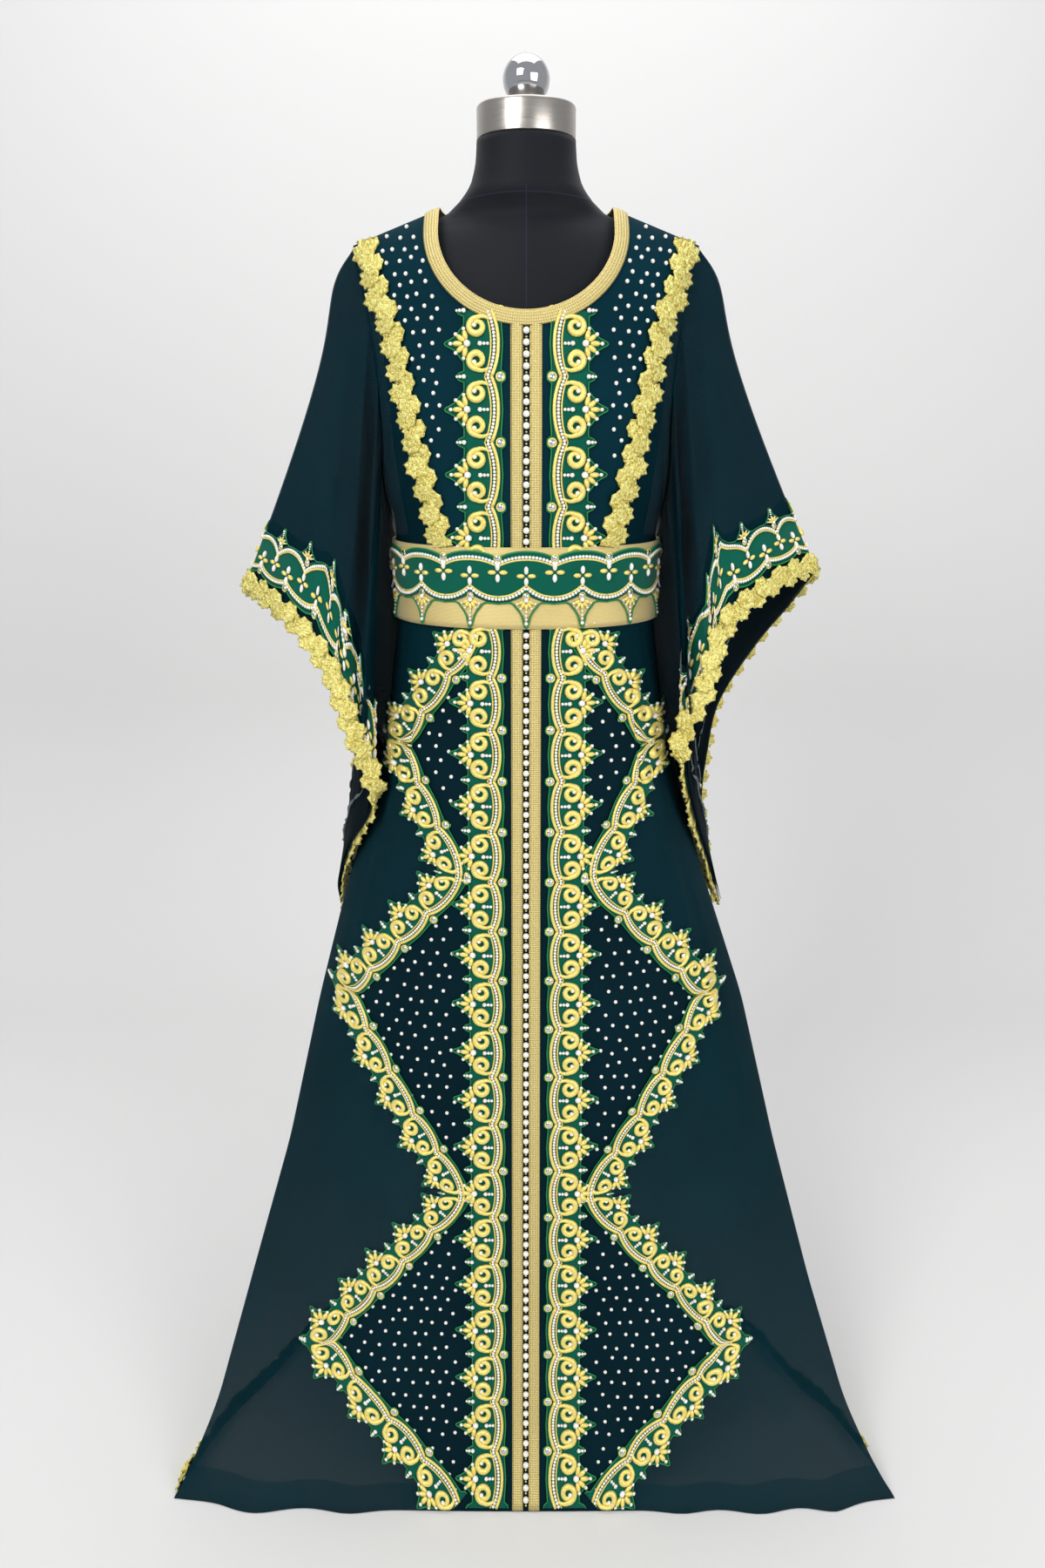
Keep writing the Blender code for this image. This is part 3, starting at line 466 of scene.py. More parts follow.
def make_finishes():
    made = {
        "chest": crepe("chest_cloth", "chest_cloth", rgb(0, 26, 34), rgb(4, 50, 62)),
        "inlay": crepe("inlay_cloth", "inlay_cloth", rgb(0, 18, 24), rgb(4, 36, 46)),
        "sheer": crepe("sheer_chiffon", "sheer_chiffon", rgb(0, 27, 35), rgb(3, 43, 54), 0.92),
        "skirt": crepe("sheer_skirt", "sheer_chiffon", rgb(0, 30, 37), rgb(6, 48, 58), 0.95, True),
        "facing": crepe("cuff_facing", "sheer_chiffon", rgb(4, 12, 16), rgb(10, 24, 30)),
        "reverse": thread("reverse_thread", "rosette_gold", rgb(34, 42, 46), rgb(120, 132, 136),
                          0.1, 0.6, 400),
        "green": crepe("green_satin", "green_satin", rgb(4, 66, 54), rgb(14, 100, 80), sheen=0.2),
        "edge": thread("green_cord", "green_satin", rgb(4, 92, 44), rgb(30, 150, 78), 0.0, 0.5, 1500),
        "gold": thread("gold_cord", "gold_braid", rgb(214, 178, 66), rgb(255, 248, 156), 0.35, 0.36, 900),
        "rosette": sequin_finish(),
        "pearl": Finish("pearl", "pearl", Base_Color=rgb(240, 238, 230), Roughness=0.22,
                        Coat_Weight=0.6, Coat_Roughness=0.1),
        "mirror": Finish("mirror_stone", "pearl", Base_Color=rgb(205, 212, 222), Metallic=1.0,
                         Roughness=0.12),
    }
    pearl = made["pearl"]
    pearl.colour(pearl.blend(pearl.noise(180.0), rgb(214, 206, 190), rgb(252, 252, 250)))
    mirror = made["mirror"]
    mirror.rough(0.06 + mirror.noise(300.0) * 0.2)
    made["braid"] = braid_finish("gold_braid", "Object")
    made["neckbraid"] = braid_finish("neck_braid", "UV")
    made["belt"] = belt_finish()
    made["jersey"] = jersey_finish()
    made["steel"] = metal_finish("brushed_steel", rgb(176, 170, 163), 0.30, 500.0)
    made["chrome"] = metal_finish("chrome", rgb(198, 198, 200), 0.06, 30.0)
    made["iron"] = metal_finish("black_metal", rgb(30, 30, 33), 0.45, 200.0)
    made["iron"].feed(made["iron"].shader.inputs["Metallic"], 0.4)
    return made


def sequin_finish():
    """Small overlapping domed sequins on gold thread, each with its own roughness and painted a lighter or
    darker gold at random as a painted glint.
    """
    finish = Finish("rosette_gold", "rosette_gold", Metallic=0.35, Specular_IOR_Level=0.5)
    domes = finish.cells(420.0)
    sequin_glint_cells = finish.cells(420.0, "Color")
    each = finish.add("ShaderNodeSeparateXYZ", {}, {0: sequin_glint_cells}, out="X")
    stitch = finish.noise(1300.0)
    # painted glint: each sequin's cell value makes its colour lighter or darker, standing in for the light
    # it catches
    finish.colour(finish.blend(each * 0.7 + stitch * 0.3, rgb(188, 162, 42), rgb(255, 250, 164)))
    finish.rough(0.24 + each * 0.3)
    finish.bump(stitch * 0.4 - domes * 1.6, 0.0008, 0.9)
    return finish


def braid_finish(name, coordinates):
    """Flat braid woven of gold thread in fine rows, with lengthwise wales."""
    finish = Finish(name, "gold_braid", Metallic=0.45, Specular_IOR_Level=0.5)
    along = finish.axis("Z" if coordinates == "Object" else "X", coordinates)
    across = finish.axis("X" if coordinates == "Object" else "Y", coordinates)
    rows = (along * 2600.0 + (across * 2600.0).maths("SINE", across * 1300.0) * 1.2).maths(
        "SINE", along * 2600.0)
    wales = (across * 2100.0).maths("SINE", across * 2100.0)
    # painted glint: this fine noise makes the gold colour lighter and darker in specks; it also varies
    # roughness and bump
    painted_glint = finish.noise(1100.0, 2.0, coordinates)
    finish.colour(finish.blend(painted_glint * 0.8 + rows * 0.12 + wales * 0.12,
                               rgb(162, 134, 62), rgb(246, 234, 166)))
    finish.rough(0.36 + painted_glint * 0.2)
    finish.bump(rows * 0.4 + wales * 0.5 + painted_glint, 0.0005, 0.8)
    return finish


def belt_finish():
    """Gold lurex satin with a faint horizontal weave."""
    finish = Finish("belt_satin", "belt_satin", Metallic=0.35, Sheen_Weight=0.3, Specular_IOR_Level=0.5)
    weave = (finish.axis("Z") * 5200.0).maths("SINE", finish.axis("Z") * 5200.0)
    # painted glint: this fine noise makes the gold colour lighter and darker in specks, over a broad uneven
    # tone; it also varies roughness and bump
    painted_glint = finish.noise(1300.0, 2.0)
    tone = finish.noise(14.0, 2.0)
    finish.colour(finish.blend(painted_glint * 0.6 + tone * 0.4, rgb(186, 160, 90), rgb(238, 220, 152)))
    finish.rough(0.38 + painted_glint * 0.2)
    finish.bump(weave * 0.3 + painted_glint + tone * 3.0, 0.0004, 0.7)
    return finish


def jersey_finish():
    """Black jersey of the form, with a middle seam and a neck-base seam."""
    finish = Finish("form_jersey", "form_jersey", Sheen_Weight=0.12, Sheen_Roughness=0.4,
                    Specular_IOR_Level=0.2)
    knit = finish.noise(1200.0, 1.0)
    side = finish.axis("X")
    dip = finish.axis("Z") - (1.512 - side * side * 3.2 - finish.axis("Y") * -0.35)
    seam = (abs(dip) < 0.0007) + (abs(side) < 0.0006) * (finish.axis("Z") < 1.497)
    finish.colour(finish.blend(seam * 0.7 + knit * 0.2, rgb(8, 9, 15), rgb(26, 34, 50)))
    finish.rough(0.55 + knit * 0.2)
    finish.bump(knit * 0.4 - seam * 2.0, 0.0005, 0.7)
    return finish


def metal_finish(name, colour, rough, scale):
    finish = Finish(name, name, Metallic=1.0, Base_Color=colour)
    streak = finish.add("ShaderNodeTexNoise", {}, {
        "Vector": finish.add("ShaderNodeMapping", {}, {0: finish.place(), "Scale": (0.05, 0.05, 1.0)}),
        "Scale": scale, "Detail": 3.0})
    finish.rough(rough + (streak - 0.5) * 0.2)
    finish.bump(streak, 0.0001, 0.4)
    return finish


# ---------------------------------------------------------------- pieces
def keep(piece, finish, nodes=()):
    """Give a finished piece its material and its body, and hide the CAD nodes it stands for."""
    piece.data.materials.append(finish.material)
    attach(piece, "root")
    if nodes:
        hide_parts(*nodes)
    return piece


def new_piece(name, bm):
    mesh = bpy.data.meshes.new(name)
    bm.to_mesh(mesh)
    bm.free()
    mesh.shade_smooth()
    piece = bpy.data.objects.new(name, mesh)
    bpy.context.scene.collection.objects.link(piece)
    return piece


def laid_grid(points):
    """Mesh over rows by columns of points."""
    rows, cols = points.shape[:2]
    bm = bmesh.new()
    bmesh.ops.create_grid(bm, x_segments=cols - 1, y_segments=rows - 1, size=0.5)
    for vert, point in zip(bm.verts, points.reshape(-1, 3)):
        vert.co = point
    return bm


def cloth_piece(name, points, finish, nodes=(), flip=False, closed=False, thick=CLOTH, uv=None):
    """Thin wall whose outer side goes through rows (falling) by columns of points."""
    points = (points[::-1, ::-1] if flip else points[::-1]).copy()
    points[..., 2] = np.maximum(points[..., 2], FLOOR_GAP)
    if closed:
        points = np.concatenate([points, points[:, :1]], axis=1)
    bm = laid_grid(points)
    if uv is not None:
        layer = bm.loops.layers.uv.new("along")
        flat = uv[::-1].reshape(-1, 2)
        for face in bm.faces:
            for loop in face.loops:
                loop[layer].uv = flat[loop.vert.index]
    bmesh.ops.remove_doubles(bm, verts=bm.verts, dist=0.000001)
    piece = new_piece(name, bm)
    wall = piece.modifiers.new("wall", "SOLIDIFY")
    wall.thickness = thick
    wall.offset = -1.0
    return keep(piece, finish, nodes)


def copied(faces, points, count, flip=False):
    """Faces of count copies of the points, turned over to flip them."""
    joined = np.concatenate([faces + index * len(points) for index in range(count)])
    return joined[:, ::-1] if flip else joined


def stacked(name, points, faces, finish, nodes=()):
    """Joined mesh of many small copies."""
    mesh = bpy.data.meshes.new(name)
    mesh.from_pydata(points.tolist(), [], faces.tolist())
    mesh.shade_smooth()
    piece = bpy.data.objects.new(name, mesh)
    bpy.context.scene.collection.objects.link(piece)
    return keep(piece, finish, nodes)


# ---------------------------------------------------------------- motifs
def first_ring(bm, sides, radius, matrix=Matrix()):
    """Edges of a filled circle, the closed start of a cord or a flower."""
    ring = bmesh.ops.create_circle(bm, cap_ends=True, segments=sides, radius=radius,
                                   matrix=matrix)["verts"]
    return list(dict.fromkeys(edge for vert in ring for edge in vert.link_edges))


def next_ring(bm, edges):
    """Extrude a ring of edges: the new points, and the edges between them."""
    made = bmesh.ops.extrude_edge_only(bm, edges=edges)["geom"]
    ring = [part for part in made if isinstance(part, bmesh.types.BMVert)]
    return ring, [part for part in made if isinstance(part, bmesh.types.BMEdge)
                  and part.verts[0] in ring and part.verts[1] in ring]


class Motif:
    """Stitched shapes drawn flat, X along, Y out and Z up, one mesh per finish."""

    def __init__(self):
        self.meshes = {}

    def mesh(self, finish):
        return self.meshes.setdefault(finish, bmesh.new())

    def cord(self, finish, points, radii, sides=6):
        """Round cord through flat points, half sunk in its ground."""
        bm = self.mesh(finish)
        points = np.asarray(points)
        radii = np.broadcast_to(radii, len(points))
        ahead = np.gradient(points, axis=0)
        frames = [Matrix.Translation((s, t, 0.6 * radius))
                  @ Matrix.Rotation(math.atan2(dt, ds), 4, "Z")
                  @ Matrix.Rotation(math.pi / 2, 4, "Y") @ Matrix.Scale(radius, 4)
                  for (s, t), (ds, dt), radius in zip(points, ahead, radii)]
        edges = first_ring(bm, sides, 1.0, frames[0])
        for before, after in zip(frames, frames[1:]):
            ring, edges = next_ring(bm, edges)
            bmesh.ops.transform(bm, matrix=after @ before.inverted(), verts=ring)
        bmesh.ops.edgeloop_fill(bm, edges=edges)

    def bead(self, finish, s, t, radius, long=1.0, turn=0.0, detail=1, lift=0.5):
        """Bead or padded petal: a ball, drawn out to long times its width."""
        matrix = (Matrix.Translation((s, t, lift * radius)) @ Matrix.Rotation(turn, 4, "Z")
                  @ Matrix.Diagonal((radius * long, radius, radius, 1.0)))
        bmesh.ops.create_icosphere(self.mesh(finish), subdivisions=detail, radius=1.0, matrix=matrix)

    def stones(self, points, radius, pitch):
        """Close row of small stones along a line."""
        points = np.asarray(points)
        run = distances(points)
        for at in np.linspace(0, run[-1], round(run[-1] / pitch), endpoint=False) + pitch / 2:
            self.bead("pearl", np.interp(at, run, points[:, 0]), np.interp(at, run, points[:, 1]), radius)

    def mirror(self, s, t, radius):
        """Round mirror in a ring of gold cord."""
        turns = np.linspace(0, 2 * math.pi, 13)
        ring = np.column_stack([s + radius * np.cos(turns), t + radius * np.sin(turns)])
        self.cord("gold", ring, radius * 0.25, 4)
        bmesh.ops.create_cone(self.mesh("mirror"), cap_ends=True, segments=10, radius1=radius,
                              radius2=radius * 0.7, depth=0.0016,
                              matrix=Matrix.Translation((s, t, 0.0008)))

    def fan(self, s, t, size, petals):
        """Fan flower: padded petals round a stone, each with a pearl at its tip."""
        self.bead("pearl", s, t, 0.30 * size, detail=2)
        for angle in petals:
            turn = math.radians(90 - angle)
            ds, dt = math.cos(turn), math.sin(turn)
            reach = 1.0 if angle else 1.15
            self.bead("gold", s + 0.72 * size * ds * reach, t + 0.72 * size * dt * reach, 0.23 * size,
                      2.0, turn, 2)
            self.bead("pearl", s + 1.24 * size * ds * reach, t + 1.24 * size * dt * reach, 0.19 * size)

    def cross(self, s, t, size):
        """Four petals, gold and pearl in turn, round an empty middle."""
        for k in range(4):
            turn = k * math.pi / 2
            self.bead("pearl" if k % 2 else "gold", s + size * math.cos(turn), t + size * math.sin(turn),
                      0.42 * size, 1.8, turn, 2)

    def parts(self):
        """Corner points and triangles of each finish."""
        made = {}
        for finish, bm in self.meshes.items():
            bmesh.ops.recalc_face_normals(bm, faces=bm.faces)
            bmesh.ops.triangulate(bm, faces=bm.faces)
            bm.verts.index_update()
            made[finish] = (np.array([vert.co[:] for vert in bm.verts]),
                            np.array([[vert.index for vert in face.verts] for face in bm.faces]))
            bm.free()
        return made


def sew(name, parts, starts, lay, flip=False, sizes=None):
    """Lay a motif's parts at every start along a line, as one piece per finish."""
    if sizes is None:
        sizes = np.ones(len(starts))
    for finish, (points, faces) in parts.items():
        every = np.concatenate([points * (size, 1.0, 1.0) + (start, 0.0, 0.0)
                                for start, size in zip(starts, sizes)])
        stacked(name + "_" + finish, lay(*every.T), copied(faces, points, len(starts), flip),
                FINISHES[finish])


def mirrored(points, repeat):
    """A line over half a repeat, carried on by its mirror image."""
    points = np.asarray(points, float)
    other = points[::-1] * (-1, 1) + (repeat, 0)
    return np.concatenate([points, other[1:]])


def band_outline(repeat):
    """Outer edge of a band's ground: round the spirals and up the flower."""
    shares = ((0.0, 0.0725), (0.05, 0.0700), (0.09, 0.0645), (0.22, 0.0645), (0.30, 0.0690),
              (0.39, 0.0735), (0.44, 0.0790), (0.475, 0.0840), (0.5, 0.0850))
    return mirrored([(share * repeat, t) for share, t in shares], repeat)


def band_inline(repeat):
    """Inner edge: out round the scallop, in round the mirror."""
    shares = ((0.0, 0.0215), (0.05, 0.0220), (0.10, 0.0262), (0.2, 0.0258), (0.5, 0.0245))
    return mirrored([(share * repeat, t) for share, t in shares], repeat)


def band_motif(repeat):
    """Scallop with mirrors at its cusps, two spirals of cord and a fan flower."""
    motif = Motif()
    half = repeat / 2
    shares = np.linspace(0, 1, 17)
    bow = 0.0072 * np.abs(2 * shares - 1) ** 2.2
    motif.cord("gold", np.column_stack([shares * repeat, 0.0288 + bow]), 0.0020, 5)
    motif.stones(np.column_stack([shares * repeat, 0.0330 + bow]), 0.0020, 0.0036)
    motif.cord("gold", np.column_stack([shares * repeat, 0.0366 + 0.9 * bow]), 0.0010, 4)
    motif.mirror(0.0, 0.0268, 0.0042)
    turns = np.radians(np.concatenate([np.linspace(-62, 180, 16), np.linspace(200, 425, 11)]))
    radii = np.interp(np.degrees(turns), (-62, 0, 180, 425), (0.0142, 0.0082, 0.0077, 0.0030))
    thick = np.interp(np.degrees(turns), (-62, 0, 180, 300, 425), (0.0015, 0.0028, 0.0036, 0.0028, 0.0020))
    for ahead in (1, -1):
        middle = half - ahead * 0.0172 * repeat / CHEST_REPEAT
        spiral = np.column_stack([middle - ahead * radii * np.cos(turns), 0.0510 + radii * np.sin(turns)])
        motif.cord("gold", spiral, thick, 7)
        motif.bead("pearl", *spiral[-1], 0.0026, detail=2)
    for t, radius in ((0.0400, 0.0020), (0.0436, 0.0021), (0.0478, 0.0028)):
        motif.bead("pearl", half, t, radius)
    motif.fan(half, 0.0610, 0.0122, (-76, -38, 0, 38, 76))
    for t, radius in ((0.0645, 0.0027), (0.0686, 0.0021), (0.0718, 0.0016)):
        motif.bead("pearl", 0.0, t, radius)
    motif.cord("edge", band_outline(repeat), 0.0009, 4)
    motif.cord("edge", band_inline(repeat), 0.0009, 4)
    return motif.parts()


def garland_motif(repeat):
    """Scallops over a garland, crosses between, and hanging fan flowers."""
    motif = Motif()
    half = repeat / 2
    shares = np.linspace(0, 1, 17)
    bow = np.abs(2 * shares - 1) ** 2.2
    along = shares * repeat
    upper = 0.0100 + 0.0072 * bow
    motif.cord("gold", np.column_stack([along, upper + 0.0028]), 0.0013, 4)
    motif.stones(np.column_stack([along, upper]), 0.0021, 0.0038)
    motif.cord("edge", np.column_stack([along, upper - 0.0058]), 0.0011, 4)
    motif.mirror(0.0, 0.0110, 0.0038)
    motif.cross(0.0, 0.0262, 0.0062)
    lower = 0.0550 - 0.0125 * (1 - np.abs(2 * shares - 1)) ** 2.2
    motif.cord("gold", np.column_stack([along, lower - 0.0028]), 0.0013, 4)
    motif.stones(np.column_stack([along, lower]), 0.0021, 0.0038)
    motif.cross(half, 0.0300, 0.0060)
    motif.cord("gold", [(half, 0.0360), (half, 0.0380), (half, 0.0415)], (0.0009, 0.0014, 0.0022), 5)
    motif.mirror(half, 0.0515, 0.0034)
    motif.fan(half, 0.0560, 0.0085, (-68, -34, 0, 34, 68))
    for t, radius in ((0.0725, 0.0017), (0.0765, 0.0018), (0.0810, 0.0024)):
        motif.bead("pearl", half, t, radius)
    shares = ((0.0, 0.0595), (0.20, 0.0585), (0.27, 0.0600), (0.33, 0.0645), (0.39, 0.0690),
              (0.43, 0.0735), (0.455, 0.0800), (0.475, 0.0850), (0.5, 0.0862))
    motif.cord("edge", mirrored([(share * repeat, t) for share, t in shares], repeat), 0.0011, 4)
    return motif.parts()


def ground(name, inline, outline, repeat, starts, lay, nodes, flip, sizes, height=0.0):
    """Green satin ground between a motif's two edges, as one long strip."""
    shares = np.linspace(0, 1, 19)[:-1]
    columns = [(start + share * repeat * size, share * repeat) for start, size in zip(starts, sizes)
               for share in shares]
    columns.append((starts[-1] + repeat * sizes[-1], repeat))
    s, local = np.array(columns).T
    low = np.interp(local, *inline.T)
    high = np.interp(local, *outline.T)
    rows = np.linspace(0, 1, 7)[:, None]
    t = low + (high - low) * rows
    points = lay(np.broadcast_to(s, t.shape), t, np.full(t.shape, height))
    cloth_piece(name + "_ground", points, FINISHES["green"], nodes, not flip, thick=SATIN)


def garland_edges(repeat, low, high):
    """Scalloped edges of a garland's ground."""
    shares = np.linspace(0, 1, 17)
    away = np.abs(2 * shares - 1)
    inline = np.column_stack([shares * repeat, low + 0.0072 * away ** 2.2])
    outline = np.column_stack([shares * repeat, high - 0.0090 * (1 - away) ** 2.2])
    return inline, outline


def band(name, repeat, starts, sizes, lay, flip):
    """Band of scallops, spirals and fan flowers, with its ground."""
    sew(name, band_motif(repeat), starts, lay, flip, sizes)
    ground(name, band_inline(repeat), band_outline(repeat), repeat, starts, lay, [name], flip, sizes)


def rosette():
    """Flat sequinned flower: rings of puffed lobes round a raised middle."""
    motif = Motif()
    bm = motif.mesh("rosette")
    profile = ((0.95, 0.0), (1.0, 0.45), (0.80, 0.90), (0.56, 0.50), (0.34, 0.95), (0.12, 0.75))
    steps = 16
    size, height = 0.0118, 0.0030
    edges = first_ring(bm, steps, profile[0][0])
    for (wide, low), (narrow, high) in zip(profile, profile[1:]):
        ring, edges = next_ring(bm, edges)
        bmesh.ops.scale(bm, vec=(narrow / wide, narrow / wide, 1.0), verts=ring)
        bmesh.ops.translate(bm, vec=(0.0, 0.0, high - low), verts=ring)
    bmesh.ops.edgeloop_fill(bm, edges=edges)
    for vert in bm.verts:
        far = math.hypot(vert.co.x, vert.co.y)
        turn = ROSETTE_LOBES * math.atan2(vert.co.y, vert.co.x)
        lobe = math.cos(turn + (math.pi if far < 0.5 else 0.0))
        vert.co.x *= size * (1.0 + 0.09 * lobe * far)
        vert.co.y *= size * (1.0 + 0.09 * lobe * far)
        vert.co.z *= height * (1.0 + 0.55 * lobe * min(1.0, 1.3 * far))
    return motif.parts()


def trim(name, length, middle, lay, nodes, flip):
    """Row of overlapping rosettes."""
    count = max(2, round(length / ROSETTE_PITCH))
    rng = np.random.default_rng(7)
    parts = []
    points, faces = ROSETTE["rosette"]
    for index in range(count + 1):
        turn = rng.uniform(0, math.pi)
        tilt = rng.uniform(-0.20, 0.20, 2)
        c, s = math.cos(turn), math.sin(turn)
        spun = np.column_stack([points[:, 0] * c - points[:, 1] * s, points[:, 0] * s + points[:, 1] * c,
                                points[:, 2] + points[:, 0] * tilt[0] + points[:, 1] * tilt[1]])
        side = middle + (0.0030 if index % 2 else -0.0030)
        parts.append(spun + (index * length / count, side, 0.0012 + 0.0009 * (index % 2)))
    stacked(name, lay(*np.concatenate(parts).T), copied(faces, points, count + 1, flip),
            FINISHES["rosette"], nodes)


class Line:
    """A line on the front, by its x and z, with t measured to its outer side."""

    def __init__(self, points, turn_over=1):
        points = np.asarray(points)
        run = distances(points)
        self.corners = run
        self.length = run[-1]
        self.run = np.arange(0, self.length, 0.002)
        self.points = np.column_stack([np.interp(self.run, run, points[:, k]) for k in (0, 1)])
        ahead = np.gradient(self.points, axis=0)
        window = np.ones(turn_over) / turn_over
        reach = turn_over // 2
        ahead = np.column_stack([np.convolve(np.pad(ahead[:, k], reach, mode="edge"), window, "valid")
                                 for k in (0, 1)])
        ahead = unit(ahead)
        self.out = np.column_stack([-ahead[:, 1], ahead[:, 0]])

    def at(self, s, t):
        x = np.interp(s, self.run, self.points[:, 0]) + t * np.interp(s, self.run, self.out[:, 0])
        z = np.interp(s, self.run, self.points[:, 1]) + t * np.interp(s, self.run, self.out[:, 1])
        return x, z


# ---------------------------------------------------------------- dress form
def make_form():
    steps = 96
    turn = np.linspace(0, 2 * math.pi, steps, endpoint=False)
    depth = np.cos(turn)

    def plain(rows):
        rows = np.array(rows)
        heights = np.linspace(rows[0, 0], rows[-1, 0], 3 * len(rows))
        read_row = [np.interp(heights, rows[::-1, 0], rows[::-1, k]) for k in (1, 2, 3)]
        return [np.column_stack([half * np.sin(turn), np.where(depth > 0, front, back) * np.abs(depth),
                                 np.full(steps, z)]) for z, half, front, back in zip(heights, *read_row)]

    rings = plain(NECK_RINGS)
    for z in FORM_HEIGHTS:
        reach = (SHOULDER_TOP - FORM_INSET - z) / SHOULDER_SLOPE
        half = min(reach, float(half_width(1, z)) - 0.016, SHOULDER_END - 0.014)
        x = half * np.sin(turn)
        y = np.zeros(steps)
        for back in (False, True):
            pick = depth <= 0 if back else depth > 0
            limit = np.abs(body_y(x, z, back, FORM_INSET))
            flat = float(body_y(0.0, z, back, FORM_INSET)) * np.abs(depth)
            y = np.where(pick, np.sign(flat) * np.minimum(limit, np.abs(flat)), y)
        rings.append(np.column_stack([x, y, np.full(steps, z)]))
    rings += plain(FORM_LOWER)
    grid = np.array(rings)
    bm = laid_grid(np.concatenate([grid, grid[:, :1]], axis=1)[::-1])
    bmesh.ops.remove_doubles(bm, verts=bm.verts, dist=0.000001)
    bmesh.ops.holes_fill(bm, edges=[edge for edge in bm.edges if edge.is_boundary], sides=0)
    bmesh.ops.recalc_face_normals(bm, faces=bm.faces)
    for _ in range(3):
        inner = [vert for vert in bm.verts if CAP_LOW - 0.004 > vert.co.z > FORM_LOW + 0.01]
        bmesh.ops.smooth_vert(bm, verts=inner, factor=0.4, use_axis_x=True, use_axis_y=True,
                              use_axis_z=True)
    keep(new_piece("form_torso_jersey", bm), FINISHES["jersey"], ["form_torso"])


def turned(name, profile, finish, nodes, steps=64):
    """Piece turned round the stand's axis from (radius, height) points."""
    bm = bmesh.new()
    verts = [bm.verts.new((radius, 0.0, z)) for radius, z in profile]
    edges = [bm.edges.new(pair) for pair in zip(verts, verts[1:])]
    bmesh.ops.spin(bm, geom=verts + edges, cent=(0, 0, 0), axis=(0, 0, 1), angle=2 * math.pi,
                   steps=steps, use_merge=True)
    bmesh.ops.remove_doubles(bm, verts=bm.verts, dist=0.00001)
    bmesh.ops.recalc_face_normals(bm, faces=bm.faces)
    piece = new_piece(name, bm)
    piece.data.set_sharp_from_angle(angle=math.radians(35))
    return keep(piece, finish, nodes)


def make_stand():
    rim = 0.0016
    turned("neck_cap_steel", [
        (0, CAP_LOW), (CAP_RADIUS - rim, CAP_LOW), (CAP_RADIUS, CAP_LOW + rim),
        (CAP_RADIUS, CAP_TOP - 2 * rim), (CAP_RADIUS - 0.4 * rim, CAP_TOP - rim),
        (CAP_RADIUS - rim, CAP_TOP - 0.3 * rim), (CAP_RADIUS - 2 * rim, CAP_TOP), (0, CAP_TOP),
    ], FINISHES["steel"], ["form_neck_cap"])
    middle = CAP_TOP + 0.0005 + BALL_RADIUS * 0.98
    arc = [(0.0, CAP_TOP + 0.0005)]
    for angle in range(12, 180, 6):
        turn = math.radians(angle)
        arc.append((BALL_RADIUS * math.sin(turn), middle - BALL_RADIUS * math.cos(turn)))
    arc.append((0.0, middle + BALL_RADIUS))
    turned("finial_ball", arc, FINISHES["chrome"], ["form_finial"])
    for node, finish in (("form_pole", "iron"), ("form_base", "iron")):
        part = frame["nodes"][node]
        part.data.materials.clear()
        part.data.materials.append(FINISHES[finish].material)


# ---------------------------------------------------------------- bodice
def neck_line(out, count=61):
    """Front neckline from the left shoulder seam round to the right one."""
    side = np.linspace(shoulder_z(NECK_X + out), NECK_Z, 8, endpoint=False)
    turn = np.linspace(0, math.pi, count - 16)
    x = np.concatenate([np.full(8, NECK_X + out), (NECK_X + out) * np.cos(turn), np.full(8, -NECK_X - out)])
    z = np.concatenate([side, NECK_Z - (NECK_DROP + out) * np.sin(turn), side[::-1]])
    return x, z


def back_neck_line(out, count=31):
    turn = np.linspace(0, math.pi, count)
    x = -(NECK_X + out) * np.cos(turn)
    return x, shoulder_z(NECK_X + out) - (NECK_BACK_DROP + out) * np.sin(turn)


def panel_grid(tops, edge, rows=90, back=False):
    """Columns from each top point down to the waist, spread inside edge(z)."""
    x_top, z_top = tops
    down = np.linspace(0, 1, rows)[:, None] ** 1.35
    z = z_top + (WAIST_Z - z_top) * down
    first = x_top / edge(z_top)
    last = np.linspace(first[0] / abs(first[0]), first[-1] / abs(first[-1]), len(x_top))
    share = first + (last - first) * down
    x = share * edge(z)
    return on_back(x, z) if back else on_front(x, z)


def make_bodice():
    x, z = neck_line(0.0)
    over = np.linspace(0.104, PRINCESS_TOP_X, 12)
    tops = (np.concatenate([-over[::-1], x[::-1], over]),
            np.concatenate([shoulder_z(over[::-1]), z[::-1], shoulder_z(over)]))
    cloth_piece("bodice_front_cloth", panel_grid(tops, princess_x), FINISHES["chest"], ["bodice_front"])
    x, z = back_neck_line(0.0)
    over = np.linspace(0.106, SHOULDER_END, 14)
    tops = (np.concatenate([-over[::-1], x, over])[::-1],
            np.concatenate([shoulder_z(over[::-1]), z, shoulder_z(over)])[::-1])
    cloth_piece("bodice_back_cloth", panel_grid(tops, lambda z: armhole_x(1, z), back=True),
                FINISHES["sheer"], ["bodice_back"])
    for side, sign in SIDES:
        z = np.linspace(PRINCESS_TOP_Z, WAIST_Z, 80)[:, None]
        part = np.sin(np.linspace(0, math.pi / 2, 14))
        x = princess_x(z) + (armhole_x(sign, z) - princess_x(z)) * part
        points = on_front(sign * x, z)
        cloth_piece("bodice_side_" + side + "_cloth", points, FINISHES["sheer"],
                    ["bodice_side_" + side], sign < 0)
    make_neckband()


def make_neckband():
    rows = []
    outs = np.linspace(-NECKBAND_HALF, NECKBAND_HALF, 9)
    for out in outs:
        crown = 0.0022 + 0.0012 * (1 - (out / NECKBAND_HALF) ** 4)
        front = on_front(*neck_line(out), crown)[::-1]
        back = on_back(*back_neck_line(out), crown)[::-1]
        rows.append(np.concatenate([front, back[1:-1]]))
    points = np.array(rows)
    loop = np.concatenate([points, points[:, :1]], axis=1)
    marks = np.stack([np.broadcast_to(distances(loop[4]), loop.shape[:2]),
                      np.broadcast_to(outs[:, None], loop.shape[:2])], axis=-1)
    cloth_piece("neckband_braid", points, FINISHES["neckbraid"], ["neckband"], closed=True,
                thick=0.0014, uv=marks)


